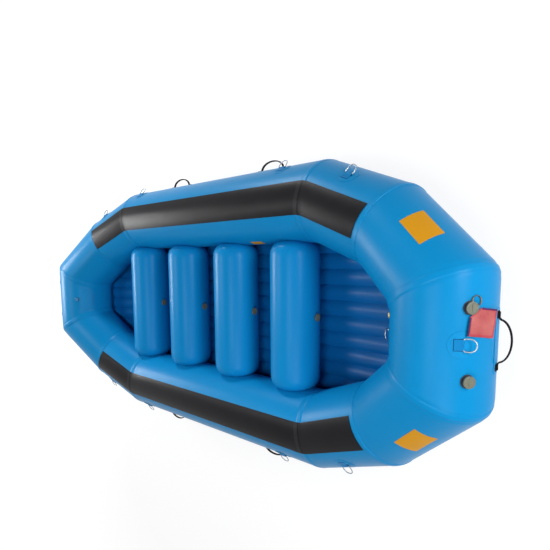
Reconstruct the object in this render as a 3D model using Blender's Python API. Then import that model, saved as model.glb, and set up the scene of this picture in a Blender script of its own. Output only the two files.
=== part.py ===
"""Whitewater raft: four air chambers in one perimeter tube, four thwarts and a self-bailing floor.

Metres. +X is the bow, +Y is port, +Z is up. The origin is on the ground under the raft's middle.
"""
from math import ceil, cos, floor, hypot, pi, radians, sin, sqrt

import bmesh
import bpy
from mathutils import Matrix, Vector
from mathutils.geometry import intersect_point_line

# Perimeter tube: the axis runs straight along the side, kicks in and up, and closes across the end.
TUBE_RADIUS = 0.250
TUBE_SIDES = 28
SIDE_AXIS_Y = 0.734
MAIN_CORNER_X = 1.050
KICK_CORNER_X = 1.552
KICK_CORNER_Y = 0.547
KICK_RISE = 0.068
END_CORNER_X = 1.921
END_CORNER_Y = 0.235
END_RISE = 0.200

# Seam tape over each mitre, and the baffles that part the four chambers.
SEAM_TAPE_WIDTH = 0.040
SEAM_TAPE_THICKNESS = 0.0012
BAFFLE_THICKNESS = 0.002
BAFFLE_INSET = 0.002

# Fits: the gap between touching pieces, and how far a cutter runs past what it cuts.
CLEARANCE = 0.0003
OVERRUN = 0.004

# Thwarts: the first is the aftmost.
THWART_COUNT = 4
THWART_RADIUS = 0.168
THWART_AXIS_Z = 0.262
THWART_SPACING = 0.594
THWART_GROUP_X = -0.094
THWART_SIDES = 24
THWART_CROWN = 0.070
THWART_END_SHARES = (1.0, 0.88, 0.64, 0.32)

# Wear strips glued along the tops of the side tubes.
STRIP_THICKNESS = 0.0016
STRIP_INBOARD_ANGLE = radians(-20.5)
STRIP_OUTBOARD_ANGLE = radians(26.0)

# Floor: an inflated mat of lengthwise beams, with a flange that is laced to the tubes.
FLOOR_THICKNESS = THWART_AXIS_Z - THWART_RADIUS - CLEARANCE
FLOOR_BEAM_PITCH = 0.104
FLOOR_BEAM_COUNT = 10
FLOOR_WEB_SHARE = 0.80
FLOOR_FLAT_WIDTH = 0.030
FLOOR_END_CLEARANCE = 0.030
FLOOR_HALVINGS = 30
LACING_HEIGHT = 0.046
LACING_THICKNESS = 0.005

# Round reinforcing patches with a webbing keeper for each steel ring.
PATCH_RADIUS = 0.062
PATCH_THICKNESS = 0.0016
PATCH_SIDES = 16
PATCH_ROWS = 2
CORNER_STEPS = 2
END_STEPS = 4
RELIEF_SIDES = 16
RELIEF_STEPS = 3
BODY_SIDES = 16
KEEPER_WIDTH = 0.044
KEEPER_TAIL = 0.031
KEEPER_WALL = 0.0024
KEEPER_BAR_OFFSET = 0.006
KEEPER_RAMP_SHARE = 2.0
BAR_PLAY = 0.0005

# Steel rings: a D bent from round rod.
RING_ROD_RADIUS = 0.0032
RING_INNER_WIDTH = 0.052
RING_INNER_REACH = 0.050
RING_CORNER_RADIUS = 0.008
RING_REST_LIFT = radians(30)

# Ring stations: distance along the segment, and the angle of the patch from the tube's top.
RING_MAIN_BOW_X = 0.778
RING_MAIN_STERN_X = -0.915
RING_MAIN_ANGLE = radians(62)
RING_KICK_BOW_STATION = 0.253
RING_KICK_STERN_STATION = 0.367
RING_KICK_ANGLE = radians(54)
RING_BOW_TOP_ANGLE = radians(44.7)
RING_BOW_INNER_ANGLE = radians(-70)
RING_BOW_INNER_Y = -0.010

# Grab handles: webbing loops on a long patch.
STRAP_WIDTH = 0.014
STRAP_THICKNESS = 0.006
STRAP_SPAN = 0.200
STRAP_RISE = 0.064
STRAP_TAB = 0.040
STRAP_STEPS = 10
HANDLE_PATCH_LENGTH = 0.310
HANDLE_PATCH_WIDTH = 0.070
HANDLE_PATCH_CORNER = 0.016
HANDLE_ANGLE = radians(92)
HANDLE_END_ANGLE = radians(98)
HANDLE_BOW_X = 0.575
HANDLE_STERN_PORT_X = -0.480
HANDLE_STERN_STARBOARD_X = -0.640

# Filling valves: a flanged body let into the chamber, and a fluted cap that plugs it.
VALVE_Y = 0.165
VALVE_ANGLE = radians(52)
VALVE_SIDES = 24
FLANGE_RADIUS = 0.032
FLANGE_DEPTH = 0.003
NECK_RADIUS = 0.016
NECK_HEIGHT = 0.015
BORE_RADIUS = 0.012
BARREL_DEPTH = 0.032
BARREL_BASE = 0.005
CAP_RADIUS = 0.029
CAP_HEIGHT = 0.011
CAP_FLUTE_DEPTH = 0.002
CAP_DOME_SHARE = 0.86
CAP_PLUG_DEPTH = 0.014

# An eye on each valve's neck, turned from starboard towards the foot of the bow, takes a split ring.
EYE_DIRECTION = radians(138.4)
EYE_REACH = 0.020
EYE_LEVEL = 0.0092
EYE_RADIUS = 0.0052
EYE_THICKNESS = 0.004
EYE_HOLE_RADIUS = 0.003

# The split ring at the port bow valve, which droops from its eye, and the tag that hangs on it.
SPLIT_RING_RADIUS = 0.0222
SPLIT_RING_WIDTH = 0.0026
SPLIT_RING_HEIGHT = 0.0044
SPLIT_RING_SIDES = 32
SPLIT_RING_DROOP = radians(12)
TAG_LOOP_ANGLE = radians(-100)
TAG_LOOP_BORE = 0.0031
TAG_LOOP_WALL = 0.0013
TAG_LOOP_LENGTH = 0.007
TAG_WIDTH = 0.133
TAG_HEIGHT = 0.1485
TAG_THICKNESS = 0.003
TAG_LIFT = 0.003
TAG_CORNER = 0.006
TAG_CUT_WIDTH = 0.047
TAG_CUT_HEIGHT = 0.058
TAG_OFFSET = 0.0679
TAG_ANGLE = radians(66.3)
TAG_TURN = radians(-7.4)

# Thwart caps sit on a raised collar that is moulded into the thwart.
THWART_VALVE_ANGLE = radians(-7)
THWART_CAP_RADIUS = 0.027
THWART_COLLAR_RADIUS = 0.021
THWART_COLLAR_HEIGHT = 0.006
THWART_CAP_HEIGHT = 0.009

# Relief valves on the inner faces of the end tubes, and the lifting patch at the stern.
RELIEF_RADIUS = 0.020
RELIEF_HEIGHT = 0.016
RELIEF_SEAT = 0.0007
RELIEF_STEM_RADIUS = 0.012
RELIEF_STEM_DEPTH = 0.015
RELIEF_TAPE_GAP = 0.004
RELIEF_PATCH_GAP = 0.0187
RELIEF_BOW_ANGLE = radians(-76)
RELIEF_STERN_Y = 0.004
RELIEF_STERN_ANGLE = radians(-43)
STERN_PATCH_TAPE_GAP = 0.0124
STERN_PATCH_WIDTH = 0.130
STERN_PATCH_CORNER = 0.025
STERN_PATCH_ANGLE = radians(-68)

BOW = 1
STERN = -1
PORT = 1
STARBOARD = -1
ENDS = {"bow": BOW, "stern": STERN}
SIDES = {"port": PORT, "starboard": STARBOARD}
UP = Vector((0, 0, 1))

# The lowest facet of the tape at the main corners lies on the ground.
TUBE_AXIS_Z = (TUBE_RADIUS + SEAM_TAPE_THICKNESS) * cos(pi / TUBE_SIDES)
SPLIT_HALF = BAFFLE_THICKNESS / 2 + CLEARANCE


def clear_scene():
    """Removes what the scene holds."""
    for obj in list(bpy.data.objects):
        bpy.data.objects.remove(obj, do_unlink=True)


def make_material(name, color, roughness, metallic=0.0):
    """One finish of the raft."""
    material = bpy.data.materials.new(name)
    material.use_nodes = True
    shader = material.node_tree.nodes["Principled BSDF"]
    shader.inputs["Base Color"].default_value = (*color, 1.0)
    shader.inputs["Roughness"].default_value = roughness
    shader.inputs["Metallic"].default_value = metallic
    material.diffuse_color = (*color, 1.0)
    return material


def make_mesh(name, bm, smooth_angle=radians(35)):
    """Closes a bmesh into a mesh with its faces pointing out."""
    bmesh.ops.recalc_face_normals(bm, faces=bm.faces)
    mesh = bpy.data.meshes.new(name)
    bm.to_mesh(mesh)
    bm.free()
    mesh.shade_smooth()
    mesh.set_sharp_from_angle(angle=smooth_angle)
    return mesh


def place(name, mesh, material, matrix=Matrix()):
    """Adds one named piece; copies of a piece share their mesh."""
    if not mesh.materials:
        mesh.materials.append(material)
    obj = bpy.data.objects.new(name, mesh)
    obj.matrix_world = matrix
    bpy.context.scene.collection.objects.link(obj)
    return obj


def combine(mesh, tool, operation):
    """Joins or cuts one closed mesh with another, and returns the result."""
    base = bpy.data.objects.new("combine_base", mesh)
    cutter = bpy.data.objects.new("combine_tool", tool)
    for obj in (base, cutter):
        bpy.context.scene.collection.objects.link(obj)
    cutter.hide_render = True
    cutter.display_type = "WIRE"
    boolean = base.modifiers.new("combine", "BOOLEAN")
    boolean.object = cutter
    boolean.operation = operation
    boolean.solver = "EXACT"
    depsgraph = bpy.context.evaluated_depsgraph_get()
    result = bpy.data.meshes.new_from_object(base.evaluated_get(depsgraph))
    for obj in (base, cutter):
        bpy.data.objects.remove(obj, do_unlink=True)
    result.name = mesh.name
    return result


def loft(name, sections):
    """A closed body through equal loops of points, with both ends filled."""
    bm = bmesh.new()
    loops = [[bm.verts.new(point) for point in section] for section in sections]
    for near, far in zip(loops, loops[1:]):
        for i in range(len(near)):
            j = (i + 1) % len(near)
            bm.faces.new((near[i], near[j], far[j], far[i]))
    bm.faces.new(loops[0])
    bm.faces.new(loops[-1])
    return make_mesh(name, bm)


def revolve(name, profile, sides, flute=0.0, fluted=()):
    """Turns an outline that starts and ends on the axis; fluted points take a waved rim."""
    bm = bmesh.new()
    rings = []
    for index, (radius, height) in enumerate(profile):
        if radius == 0:
            rings.append([bm.verts.new((0, 0, height))])
            continue
        ring = []
        for k in range(sides):
            angle = 2 * pi * k / sides
            reach = radius - (flute if index in fluted and k % 3 == 0 else 0)
            ring.append(bm.verts.new((reach * cos(angle), reach * sin(angle), height)))
        rings.append(ring)
    for near, far in zip(rings, rings[1:]):
        for i in range(sides):
            j = (i + 1) % sides
            if len(near) == 1:
                bm.faces.new((near[0], far[j], far[i]))
            elif len(far) == 1:
                bm.faces.new((near[i], near[j], far[0]))
            else:
                bm.faces.new((near[i], near[j], far[j], far[i]))
    return make_mesh(name, bm)


def cylinder(name, radius, low, high, sides, axis="Z"):
    """A plain cylinder between two heights, along Z or X."""
    circle = [(radius * cos(2 * pi * k / sides), radius * sin(2 * pi * k / sides)) for k in range(sides)]
    if axis == "X":
        return loft(name, [[(end, a, b) for a, b in circle] for end in (low, high)])
    return loft(name, [[(a, b, end) for a, b in circle] for end in (low, high)])


class TubeFrame:
    """A straight run of tube: a start on its axis, its direction, and the outboard and up vectors."""

    def __init__(self, start, toward):
        self.start = start
        self.along = (toward - start).normalized()
        self.outboard = self.along.cross(UP).normalized()
        if self.outboard.dot(start) < 0:
            self.outboard.negate()
        self.upward = self.outboard.cross(self.along)
        if self.upward.z < 0:
            self.upward.negate()

    def seat(self, station, angle, radius=TUBE_RADIUS):
        """Where a fitting sits: X along the tube, Y round it away from the top, Z out of the tube."""
        outward = sin(angle) * self.outboard + cos(angle) * self.upward
        around = cos(angle) * self.outboard - sin(angle) * self.upward
        across = around.cross(outward)
        origin = self.start + station * self.along + radius * outward
        matrix = Matrix((across, around, outward)).transposed().to_4x4()
        matrix.translation = origin
        return matrix


def axis_point(corner, fore, side):
    """A corner of the tube's axis: 0 mid side, 1 main, 2 kick, 3 end, 4 mid end."""
    points = {
        0: (0, SIDE_AXIS_Y, 0),
        1: (MAIN_CORNER_X, SIDE_AXIS_Y, 0),
        2: (KICK_CORNER_X, KICK_CORNER_Y, KICK_RISE),
        3: (END_CORNER_X, END_CORNER_Y, END_RISE),
        4: (END_CORNER_X, 0, END_RISE),
    }
    x, y, rise = points[corner]
    return Vector((fore * x, side * y, TUBE_AXIS_Z + rise))


def run(corner, fore, side):
    """The straight run of tube that starts at a corner."""
    return TubeFrame(axis_point(corner, fore, side), axis_point(corner + 1, fore, side))


def side_run(side):
    """A whole side tube, measured from its middle towards the bow."""
    return run(0, BOW, side)


def end_run(fore):
    """A whole end tube, measured from its middle towards port."""
    return TubeFrame(axis_point(4, fore, PORT), axis_point(3, fore, PORT))


def end_limit(fore, angle):
    """How far from mid end a fitting at this angle can reach before it meets the seam tape."""
    before = run(2, fore, PORT).along
    after = run(3, fore, PORT).along
    mitre = (before + after).normalized()
    frame = end_run(fore)
    edge = axis_point(3, fore, PORT) + after * SEAM_TAPE_WIDTH / 2
    skin = frame.start + TUBE_RADIUS * (sin(angle) * frame.outboard + cos(angle) * frame.upward)
    return (edge - skin).dot(mitre) / frame.along.dot(mitre)


def mitred_stations(fore, side, last_corner):
    """Cross-sections of a quarter of the tube, from mid side to a corner or to mid end.

    Each is the centre, the unit outline in its own plane and whether seam tape covers it.
    """
    corners = [axis_point(k, fore, side) for k in range(5)]
    corners[0].x += fore * SPLIT_HALF
    corners[4].y += side * SPLIT_HALF
    legs = [(b - a).normalized() for a, b in zip(corners, corners[1:])]
    frame = run(0, fore, side)
    spokes = []
    for k in range(TUBE_SIDES):
        angle = 2 * pi * (k + 0.5) / TUBE_SIDES
        spokes.append(sin(angle) * frame.outboard + cos(angle) * frame.upward)
    stations = [(corners[0], spokes, False)]
    for k in range(1, 4):
        before, after = legs[k - 1], legs[k]
        mitre = (before + after).normalized()
        outline = [s - before * (s.dot(mitre) / before.dot(mitre)) for s in spokes]
        reach = SEAM_TAPE_WIDTH / 2
        edge = corners[k] - reach * before
        stations.append((edge, outline, False))
        if k == last_corner:
            return stations
        far_edge = corners[k] + reach * after
        stations += [(edge, outline, True), (corners[k], outline, True)]
        stations += [(far_edge, outline, True), (far_edge, outline, False)]
        spokes = [p - after * p.dot(after) for p in outline]
    stations.append((corners[4], spokes, False))
    return stations


def outline_point(outline, angle):
    """A point of a tube outline at an angle from the top, on the flat between two corners."""
    place_on = angle * TUBE_SIDES / (2 * pi) - 0.5
    low = floor(place_on)
    share = place_on - low
    return outline[low % TUBE_SIDES].lerp(outline[ceil(place_on) % TUBE_SIDES], share)


def pocket(radius, depth, seat):
    """The blind hole in a chamber that takes the part of a valve inside it."""
    hole = cylinder("pocket", radius + CLEARANCE, -depth - CLEARANCE, OVERRUN, BODY_SIDES)
    hole.transform(seat)
    return hole


def build_chambers(finishes):
    """Four quarters of the tube, each from a mid-side baffle to a mid-end one."""
    for end, fore in ENDS.items():
        for side_name, side in SIDES.items():
            sections = []
            for centre, outline, taped in mitred_stations(fore, side, last_corner=4):
                radius = TUBE_RADIUS + (SEAM_TAPE_THICKNESS if taped else 0)
                sections.append([centre + radius * p for p in outline])
            name = f"chamber_{end}_{side_name}"
            seat = valve_seat(fore, side)
            mesh = combine(loft(name, sections), pocket(NECK_RADIUS, BARREL_DEPTH, seat), "DIFFERENCE")
            if (fore, side) == (BOW, PORT):
                hole = pocket(RELIEF_STEM_RADIUS, RELIEF_STEM_DEPTH, relief_seat())
                mesh = combine(mesh, hole, "DIFFERENCE")
            place(name, mesh, finishes["blue"])


def build_baffles(finishes):
    """Fabric discs between neighbouring chambers."""
    radius = TUBE_RADIUS - BAFFLE_INSET
    half = BAFFLE_THICKNESS / 2
    for name, frame in (
        ("baffle_bow", end_run(BOW)),
        ("baffle_stern", end_run(STERN)),
        ("baffle_port", side_run(PORT)),
        ("baffle_starboard", side_run(STARBOARD)),
    ):
        disc = cylinder(name, radius, -half, half, TUBE_SIDES, axis="X")
        rotation = UP.cross(frame.along)
        turn = Matrix((frame.along, rotation, UP)).transposed().to_4x4()
        place(name, disc, finishes["fabric"], Matrix.Translation(frame.start) @ turn)


def build_wear_strips(finishes):
    """Strips along the tops of the sides, from mid side to the kick corner's tape."""
    step = 2 * pi / TUBE_SIDES
    first = ceil(STRIP_INBOARD_ANGLE / step - 0.5)
    last = floor(STRIP_OUTBOARD_ANGLE / step - 0.5)
    angles = [STRIP_INBOARD_ANGLE]
    angles += [(k + 0.5) * step for k in range(first, last + 1)]
    angles += [STRIP_OUTBOARD_ANGLE]
    for end, fore in ENDS.items():
        for side_name, side in SIDES.items():
            sections = []
            for centre, outline, taped in mitred_stations(fore, side, last_corner=2):
                inner = TUBE_RADIUS + CLEARANCE + (SEAM_TAPE_THICKNESS if taped else 0)
                outer = inner + STRIP_THICKNESS
                arc = [outline_point(outline, a) for a in angles]
                loop = [centre + inner * p for p in arc]
                loop += [centre + outer * p for p in reversed(arc)]
                sections.append(loop)
            name = f"wear_strip_{end}_{side_name}"
            place(name, loft(name, sections), finishes["strip"])


def tube_face_y(x, z, radius):
    """How far to port a point at x, z can go before it meets the port tube."""
    limit = None
    fore = BOW if x > 0 else STERN
    for corner in (0, 1):
        frame = run(corner, fore, PORT)
        d, a = frame.along, frame.start
        dx, dz = x - a.x, z - a.z
        flat = dx * d.x + dz * d.z
        qa = 1 - d.y ** 2
        qb = -d.y * flat
        qc = dx ** 2 + dz ** 2 - flat ** 2 - radius ** 2
        root = qb ** 2 - qa * qc
        if root <= 0:
            continue
        reach = a.y + (-qb - sqrt(root)) / qa
        limit = reach if limit is None else min(limit, reach)
    return limit


def thwart_mesh(name, x):
    """A round bolster whose crowned ends press against the side tubes."""
    widest_step = max(a - b for a, b in zip(THWART_END_SHARES, (*THWART_END_SHARES[1:], 0)))
    chord = THWART_RADIUS * hypot(widest_step, 2 * pi / THWART_SIDES)
    seat = TUBE_RADIUS / cos(chord / TUBE_RADIUS / 2) + CLEARANCE
    if abs(x) + THWART_RADIUS > MAIN_CORNER_X - SEAM_TAPE_WIDTH:
        seat += SEAM_TAPE_THICKNESS
    shoulder = SIDE_AXIS_Y - TUBE_RADIUS - THWART_CROWN / 2

    def ring(share, y):
        """One loop of the end, crowned, and held back by the tube."""
        points = []
        for k in range(THWART_SIDES):
            angle = 2 * pi * k / THWART_SIDES
            px = x + THWART_RADIUS * share * cos(angle)
            pz = THWART_AXIS_Z + THWART_RADIUS * share * sin(angle)
            limit = tube_face_y(px, pz, seat)
            points.append((px, y if limit is None else min(y, limit), pz))
        return points

    port_rings = []
    for share in THWART_END_SHARES:
        crown = sqrt(max(0.0, 1 - share ** 2))
        port_rings.append(ring(share, shoulder + THWART_CROWN * crown * 2))
    port_rings.insert(0, ring(1.0, shoulder - THWART_CROWN / 2))
    bm = bmesh.new()
    loops = []
    for points in reversed(port_rings):
        loops.append([bm.verts.new((px, -y, pz)) for px, y, pz in points])
    for points in port_rings:
        loops.append([bm.verts.new(p) for p in points])
    for near, far in zip(loops, loops[1:]):
        for i in range(THWART_SIDES):
            j = (i + 1) % THWART_SIDES
            bm.faces.new((near[i], near[j], far[j], far[i]))
    limit = tube_face_y(x, THWART_AXIS_Z, seat)
    for loop, side in ((loops[0], STARBOARD), (loops[-1], PORT)):
        pole = bm.verts.new((x, side * limit, THWART_AXIS_Z))
        for i in range(THWART_SIDES):
            bm.faces.new((loop[i], loop[(i + 1) % THWART_SIDES], pole))
    return make_mesh(name, bm)


def thwart_x(number):
    """Where a thwart's axis crosses the centreline."""
    return THWART_GROUP_X + (number - (THWART_COUNT - 1) / 2) * THWART_SPACING


def build_thwarts(finishes):
    """Four thwarts, each with a filling valve that faces the bow."""
    skirt = THWART_RADIUS - sqrt(THWART_RADIUS ** 2 - THWART_COLLAR_RADIUS ** 2)
    for number in range(THWART_COUNT):
        x = thwart_x(number)
        name = f"thwart_{number + 1}"
        outward = Vector((cos(THWART_VALVE_ANGLE), 0, sin(THWART_VALVE_ANGLE)))
        across = Vector((0, 1, 0))
        seat = Matrix((across, outward.cross(across), outward)).transposed().to_4x4()
        seat.translation = Vector((x, 0, THWART_AXIS_Z)) + THWART_RADIUS * outward
        collar = cylinder("collar", THWART_COLLAR_RADIUS, -skirt - OVERRUN, THWART_COLLAR_HEIGHT, VALVE_SIDES)
        collar.transform(seat)
        mesh = combine(thwart_mesh(name, x), collar, "UNION")
        place(name, mesh, finishes["blue"])
        low = THWART_COLLAR_HEIGHT + CLEARANCE
        cap = cap_mesh(f"thwart_cap_{number + 1}", THWART_CAP_RADIUS, low, THWART_CAP_HEIGHT, 0, 0)
        place(cap.name, cap, finishes["cap"], seat)


def cap_mesh(name, radius, low, height, plug_radius, plug_depth):
    """A fluted cap with a crowned face, with a plug under it where one is asked for."""
    top = low + height
    rim = radius * CAP_DOME_SHARE
    profile = [(0, low - plug_depth), (plug_radius, low - plug_depth), (plug_radius, low)]
    if not plug_depth:
        profile = [(0, low)]
    first = len(profile)
    profile += [(rim, low), (radius, low + height / 4), (radius, low + height * 3 / 4)]
    profile += [(rim, top), (rim / 2, top + CAP_FLUTE_DEPTH / 2), (0, top + CAP_FLUTE_DEPTH / 2)]
    return revolve(name, profile, VALVE_SIDES, CAP_FLUTE_DEPTH, (first + 1, first + 2))


def sag(offset, radius=TUBE_RADIUS):
    """How far a tube's surface falls away at a distance round from its crest."""
    return radius - sqrt(radius ** 2 - offset ** 2)


def valve_seat(fore, side):
    """Where a filling valve sits."""
    return end_run(fore).seat(side * VALVE_Y, VALVE_ANGLE)


def eye_frame():
    """The eye on a valve's neck: Y runs through its hole, X away from the valve."""
    place_on = Matrix.Translation((EYE_REACH, 0, EYE_LEVEL))
    return Matrix.Rotation(EYE_DIRECTION, 4, "Z") @ place_on


def round_bar(name, radius, length, sides, matrix):
    """A cylinder about the Y axis of a frame."""
    bar = cylinder(name, radius, -length / 2, length / 2, sides)
    bar.transform(matrix @ Matrix.Rotation(pi / 2, 4, "X"))
    return bar


def valve_body_mesh():
    """Flange, neck and barrel, with a blind bore for the cap's plug and an eye under the cap's rim."""
    bottom = -BARREL_DEPTH
    seat = CLEARANCE
    profile = [(0, bottom), (NECK_RADIUS, bottom), (NECK_RADIUS, seat), (FLANGE_RADIUS, seat)]
    profile += [(FLANGE_RADIUS, seat + FLANGE_DEPTH), (NECK_RADIUS + FLANGE_DEPTH, seat + FLANGE_DEPTH)]
    profile += [(NECK_RADIUS, NECK_HEIGHT), (BORE_RADIUS, NECK_HEIGHT)]
    profile += [(BORE_RADIUS, bottom + BARREL_BASE), (0, bottom + BARREL_BASE)]
    mesh = revolve("valve_body", profile, BODY_SIDES)
    for vertex in mesh.vertices:
        spread = hypot(vertex.co.x, vertex.co.y)
        if spread > NECK_RADIUS + CLEARANCE and vertex.co.z < NECK_HEIGHT:
            vertex.co.z -= sag(vertex.co.y)
    eye = round_bar("eye", EYE_RADIUS, EYE_THICKNESS, BODY_SIDES, eye_frame())
    mesh = combine(mesh, eye, "UNION")
    hole = round_bar("hole", EYE_HOLE_RADIUS, EYE_THICKNESS + OVERRUN, BODY_SIDES, eye_frame())
    return combine(mesh, hole, "DIFFERENCE")


def build_valves(finishes):
    """One filling valve and cap for each chamber."""
    body = valve_body_mesh()
    low = NECK_HEIGHT + CLEARANCE
    plug = BORE_RADIUS * cos(pi / BODY_SIDES) - CLEARANCE
    cap = cap_mesh("valve_cap", CAP_RADIUS, low, CAP_HEIGHT, plug, CAP_PLUG_DEPTH)
    for end, fore in ENDS.items():
        for side_name, side in SIDES.items():
            seat = valve_seat(fore, side)
            place(f"valve_body_{end}_{side_name}", body, finishes["collar"], seat)
            place(f"valve_cap_{end}_{side_name}", cap, finishes["cap"], seat)


def split_ring_frame():
    """The middle of the split ring: its wire passes through the eye and its plane droops away from it."""
    droop = Matrix.Rotation(SPLIT_RING_DROOP, 4, "Y") @ Matrix.Translation((SPLIT_RING_RADIUS, 0, 0))
    return valve_seat(BOW, PORT) @ eye_frame() @ droop


def build_split_ring(finishes):
    """A flat-sided ring through the eye of the port bow valve."""
    half_width = SPLIT_RING_WIDTH / 2
    half_height = SPLIT_RING_HEIGHT / 2
    chamfer = half_width / 2
    section = [(half_width, half_height - chamfer), (half_width - chamfer, half_height)]
    section += [(-x, z) for x, z in reversed(section)]
    section += [(-x, -z) for x, z in section]
    bm = bmesh.new()
    loops = []
    for k in range(SPLIT_RING_SIDES):
        angle = 2 * pi * k / SPLIT_RING_SIDES
        loop = []
        for x, z in section:
            reach = SPLIT_RING_RADIUS + x
            loop.append(bm.verts.new((reach * cos(angle), reach * sin(angle), z)))
        loops.append(loop)
    for k in range(SPLIT_RING_SIDES):
        near, far = loops[k], loops[(k + 1) % SPLIT_RING_SIDES]
        for i in range(len(section)):
            j = (i + 1) % len(section)
            bm.faces.new((near[i], near[j], far[j], far[i]))
    place("split_ring", make_mesh("split_ring", bm), finishes["steel"], split_ring_frame())


def tag_loop_frame():
    """The tag's loop on the split ring: Y runs along the ring's wire and X out of the ring."""
    out = Matrix.Translation((SPLIT_RING_RADIUS, 0, 0))
    return split_ring_frame() @ Matrix.Rotation(TAG_LOOP_ANGLE, 4, "Z") @ out


def tag_panel_frame():
    """The middle of the tag's panel: Z leaves the tube, and X runs along the tag's near edge."""
    panel = end_run(BOW).seat(VALVE_Y - TAG_OFFSET, TAG_ANGLE)
    return panel @ Matrix.Rotation(TAG_TURN, 4, "Z")


def tag_outline():
    """The tag seen square on: a rectangle whose corner at the valve is cut off, the others rounded."""
    half_width, half_height = TAG_WIDTH / 2, TAG_HEIGHT / 2
    points = [(-half_width + TAG_CUT_WIDTH, -half_height)]
    for cx, cy, start in ((1, -1, 3), (1, 1, 0), (-1, 1, 1)):
        for k in range(CORNER_STEPS + 1):
            angle = (start + k / CORNER_STEPS) * pi / 2
            x = cx * (half_width - TAG_CORNER) + TAG_CORNER * cos(angle)
            y = cy * (half_height - TAG_CORNER) + TAG_CORNER * sin(angle)
            points.append((x, y))
    points.append((-half_width, -half_height + TAG_CUT_HEIGHT))
    return points


def build_tag(finishes):
    """A blank tag in a flat sleeve, with a loop at its cut corner round the split ring."""
    panel = tag_panel_frame()
    low, high = TAG_LIFT, TAG_LIFT + TAG_THICKNESS
    mesh = loft("tag", [[(x, y, z) for x, y in tag_outline()] for z in (low, high)])
    mesh.transform(panel)
    loop = tag_loop_frame()
    outer = TAG_LOOP_BORE + TAG_LOOP_WALL
    mesh = combine(mesh, round_bar("loop", outer, TAG_LOOP_LENGTH, BODY_SIDES, loop), "UNION")
    corner = Vector((-TAG_WIDTH / 2, -TAG_HEIGHT / 2 + TAG_CUT_HEIGHT, high - TAG_LOOP_WALL))
    root = panel @ (corner + Vector((TAG_CORNER, TAG_CORNER, 0)))
    start = loop.translation
    along = (root - start).normalized()
    across = (loop.to_3x3() @ Vector((0, 1, 0))).normalized()
    upward = along.cross(across).normalized()
    across = upward.cross(along)
    tail_frame = Matrix((along, across, upward)).transposed().to_4x4()
    tail_frame.translation = start
    length = (root - start).length
    half_width, half_wall = TAG_LOOP_LENGTH / 2, TAG_LOOP_WALL
    square = [(-half_width, -half_wall), (half_width, -half_wall), (half_width, half_wall), (-half_width, half_wall)]
    tail = loft("tail", [[(x, y, z) for y, z in square] for x in (TAG_LOOP_BORE, length)])
    tail.transform(tail_frame)
    mesh = combine(mesh, tail, "UNION")
    bore = round_bar("bore", TAG_LOOP_BORE, TAG_LOOP_LENGTH + OVERRUN, BODY_SIDES, loop)
    mesh = combine(mesh, bore, "DIFFERENCE")
    mesh.transform(loop.inverted())
    place("tag", mesh, finishes["tag"], loop)


def wrap(mesh, radius=TUBE_RADIUS):
    """Bends a flat piece round the tube: its Y runs round the tube and its Z out of it."""
    for vertex in mesh.vertices:
        angle = vertex.co.y / radius
        reach = radius + vertex.co.z
        vertex.co.y = reach * sin(angle)
        vertex.co.z = reach * cos(angle) - radius
    return mesh


def patch_seat(step):
    """How high a patch's underside lies so that its flats of this step clear the tube."""
    return CLEARANCE + TUBE_RADIUS / cos(step / TUBE_RADIUS / 2) - TUBE_RADIUS


def patch_mesh(name, outline):
    """A thin patch: rows of the outline, drawn in towards the middle, with a wall all round."""
    step = max(abs(y) for _, y in outline) / PATCH_ROWS
    low = patch_seat(step)
    high = low + PATCH_THICKNESS
    bm = bmesh.new()
    faces = []
    for level in (low, high):
        centre = bm.verts.new((0, 0, level))
        loops = []
        for row in range(1, PATCH_ROWS + 1):
            share = row / PATCH_ROWS
            loops.append([bm.verts.new((share * x, share * y, level)) for x, y in outline])
        count = len(outline)
        for i in range(count):
            j = (i + 1) % count
            bm.faces.new((centre, loops[0][i], loops[0][j]))
            for near, far in zip(loops, loops[1:]):
                bm.faces.new((near[i], near[j], far[j], far[i]))
        faces.append(loops[-1])
    lower, upper = faces
    for i in range(len(outline)):
        j = (i + 1) % len(outline)
        bm.faces.new((lower[i], lower[j], upper[j], upper[i]))
    return make_mesh(name, bm), high


def rounded_outline(length, width, radius):
    """A rectangle with rounded corners, whose ends are split so that they can bend round a tube."""
    flat = width / 2 - radius
    points = []
    for cx, cy, start in ((1, 1, 0), (-1, 1, 1), (-1, -1, 2), (1, -1, 3)):
        for k in range(CORNER_STEPS + 1):
            angle = (start + k / CORNER_STEPS) * pi / 2
            x = cx * (length / 2 - radius) + radius * cos(angle)
            y = cy * flat + radius * sin(angle)
            points.append((x, y))
        if start in (1, 3):
            for k in range(1, END_STEPS):
                points.append((cx * length / 2, cy * flat * (1 - 2 * k / END_STEPS)))
    return points


def bar_height(patch_top):
    """The height of a ring's bar over the tube, inside its keeper."""
    return patch_top + KEEPER_WALL / 2 + BAR_PLAY + RING_ROD_RADIUS


def keeper_profile(patch_top):
    """Side view of the webbing loop: a flat tail that rises over the ring's bar."""
    loop = RING_ROD_RADIUS + BAR_PLAY + KEEPER_WALL
    centre = bar_height(patch_top)
    root = patch_top - PATCH_THICKNESS / 2
    shelf = patch_top + KEEPER_WALL
    points = [(-KEEPER_TAIL, root), (-KEEPER_TAIL, shelf), (KEEPER_BAR_OFFSET - KEEPER_RAMP_SHARE * loop, shelf)]
    for k in range(6):
        angle = radians(135) - k * radians(135) / 5
        points.append((KEEPER_BAR_OFFSET + loop * cos(angle), centre + loop * sin(angle)))
    points.append((KEEPER_BAR_OFFSET + loop, root))
    return points


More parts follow.
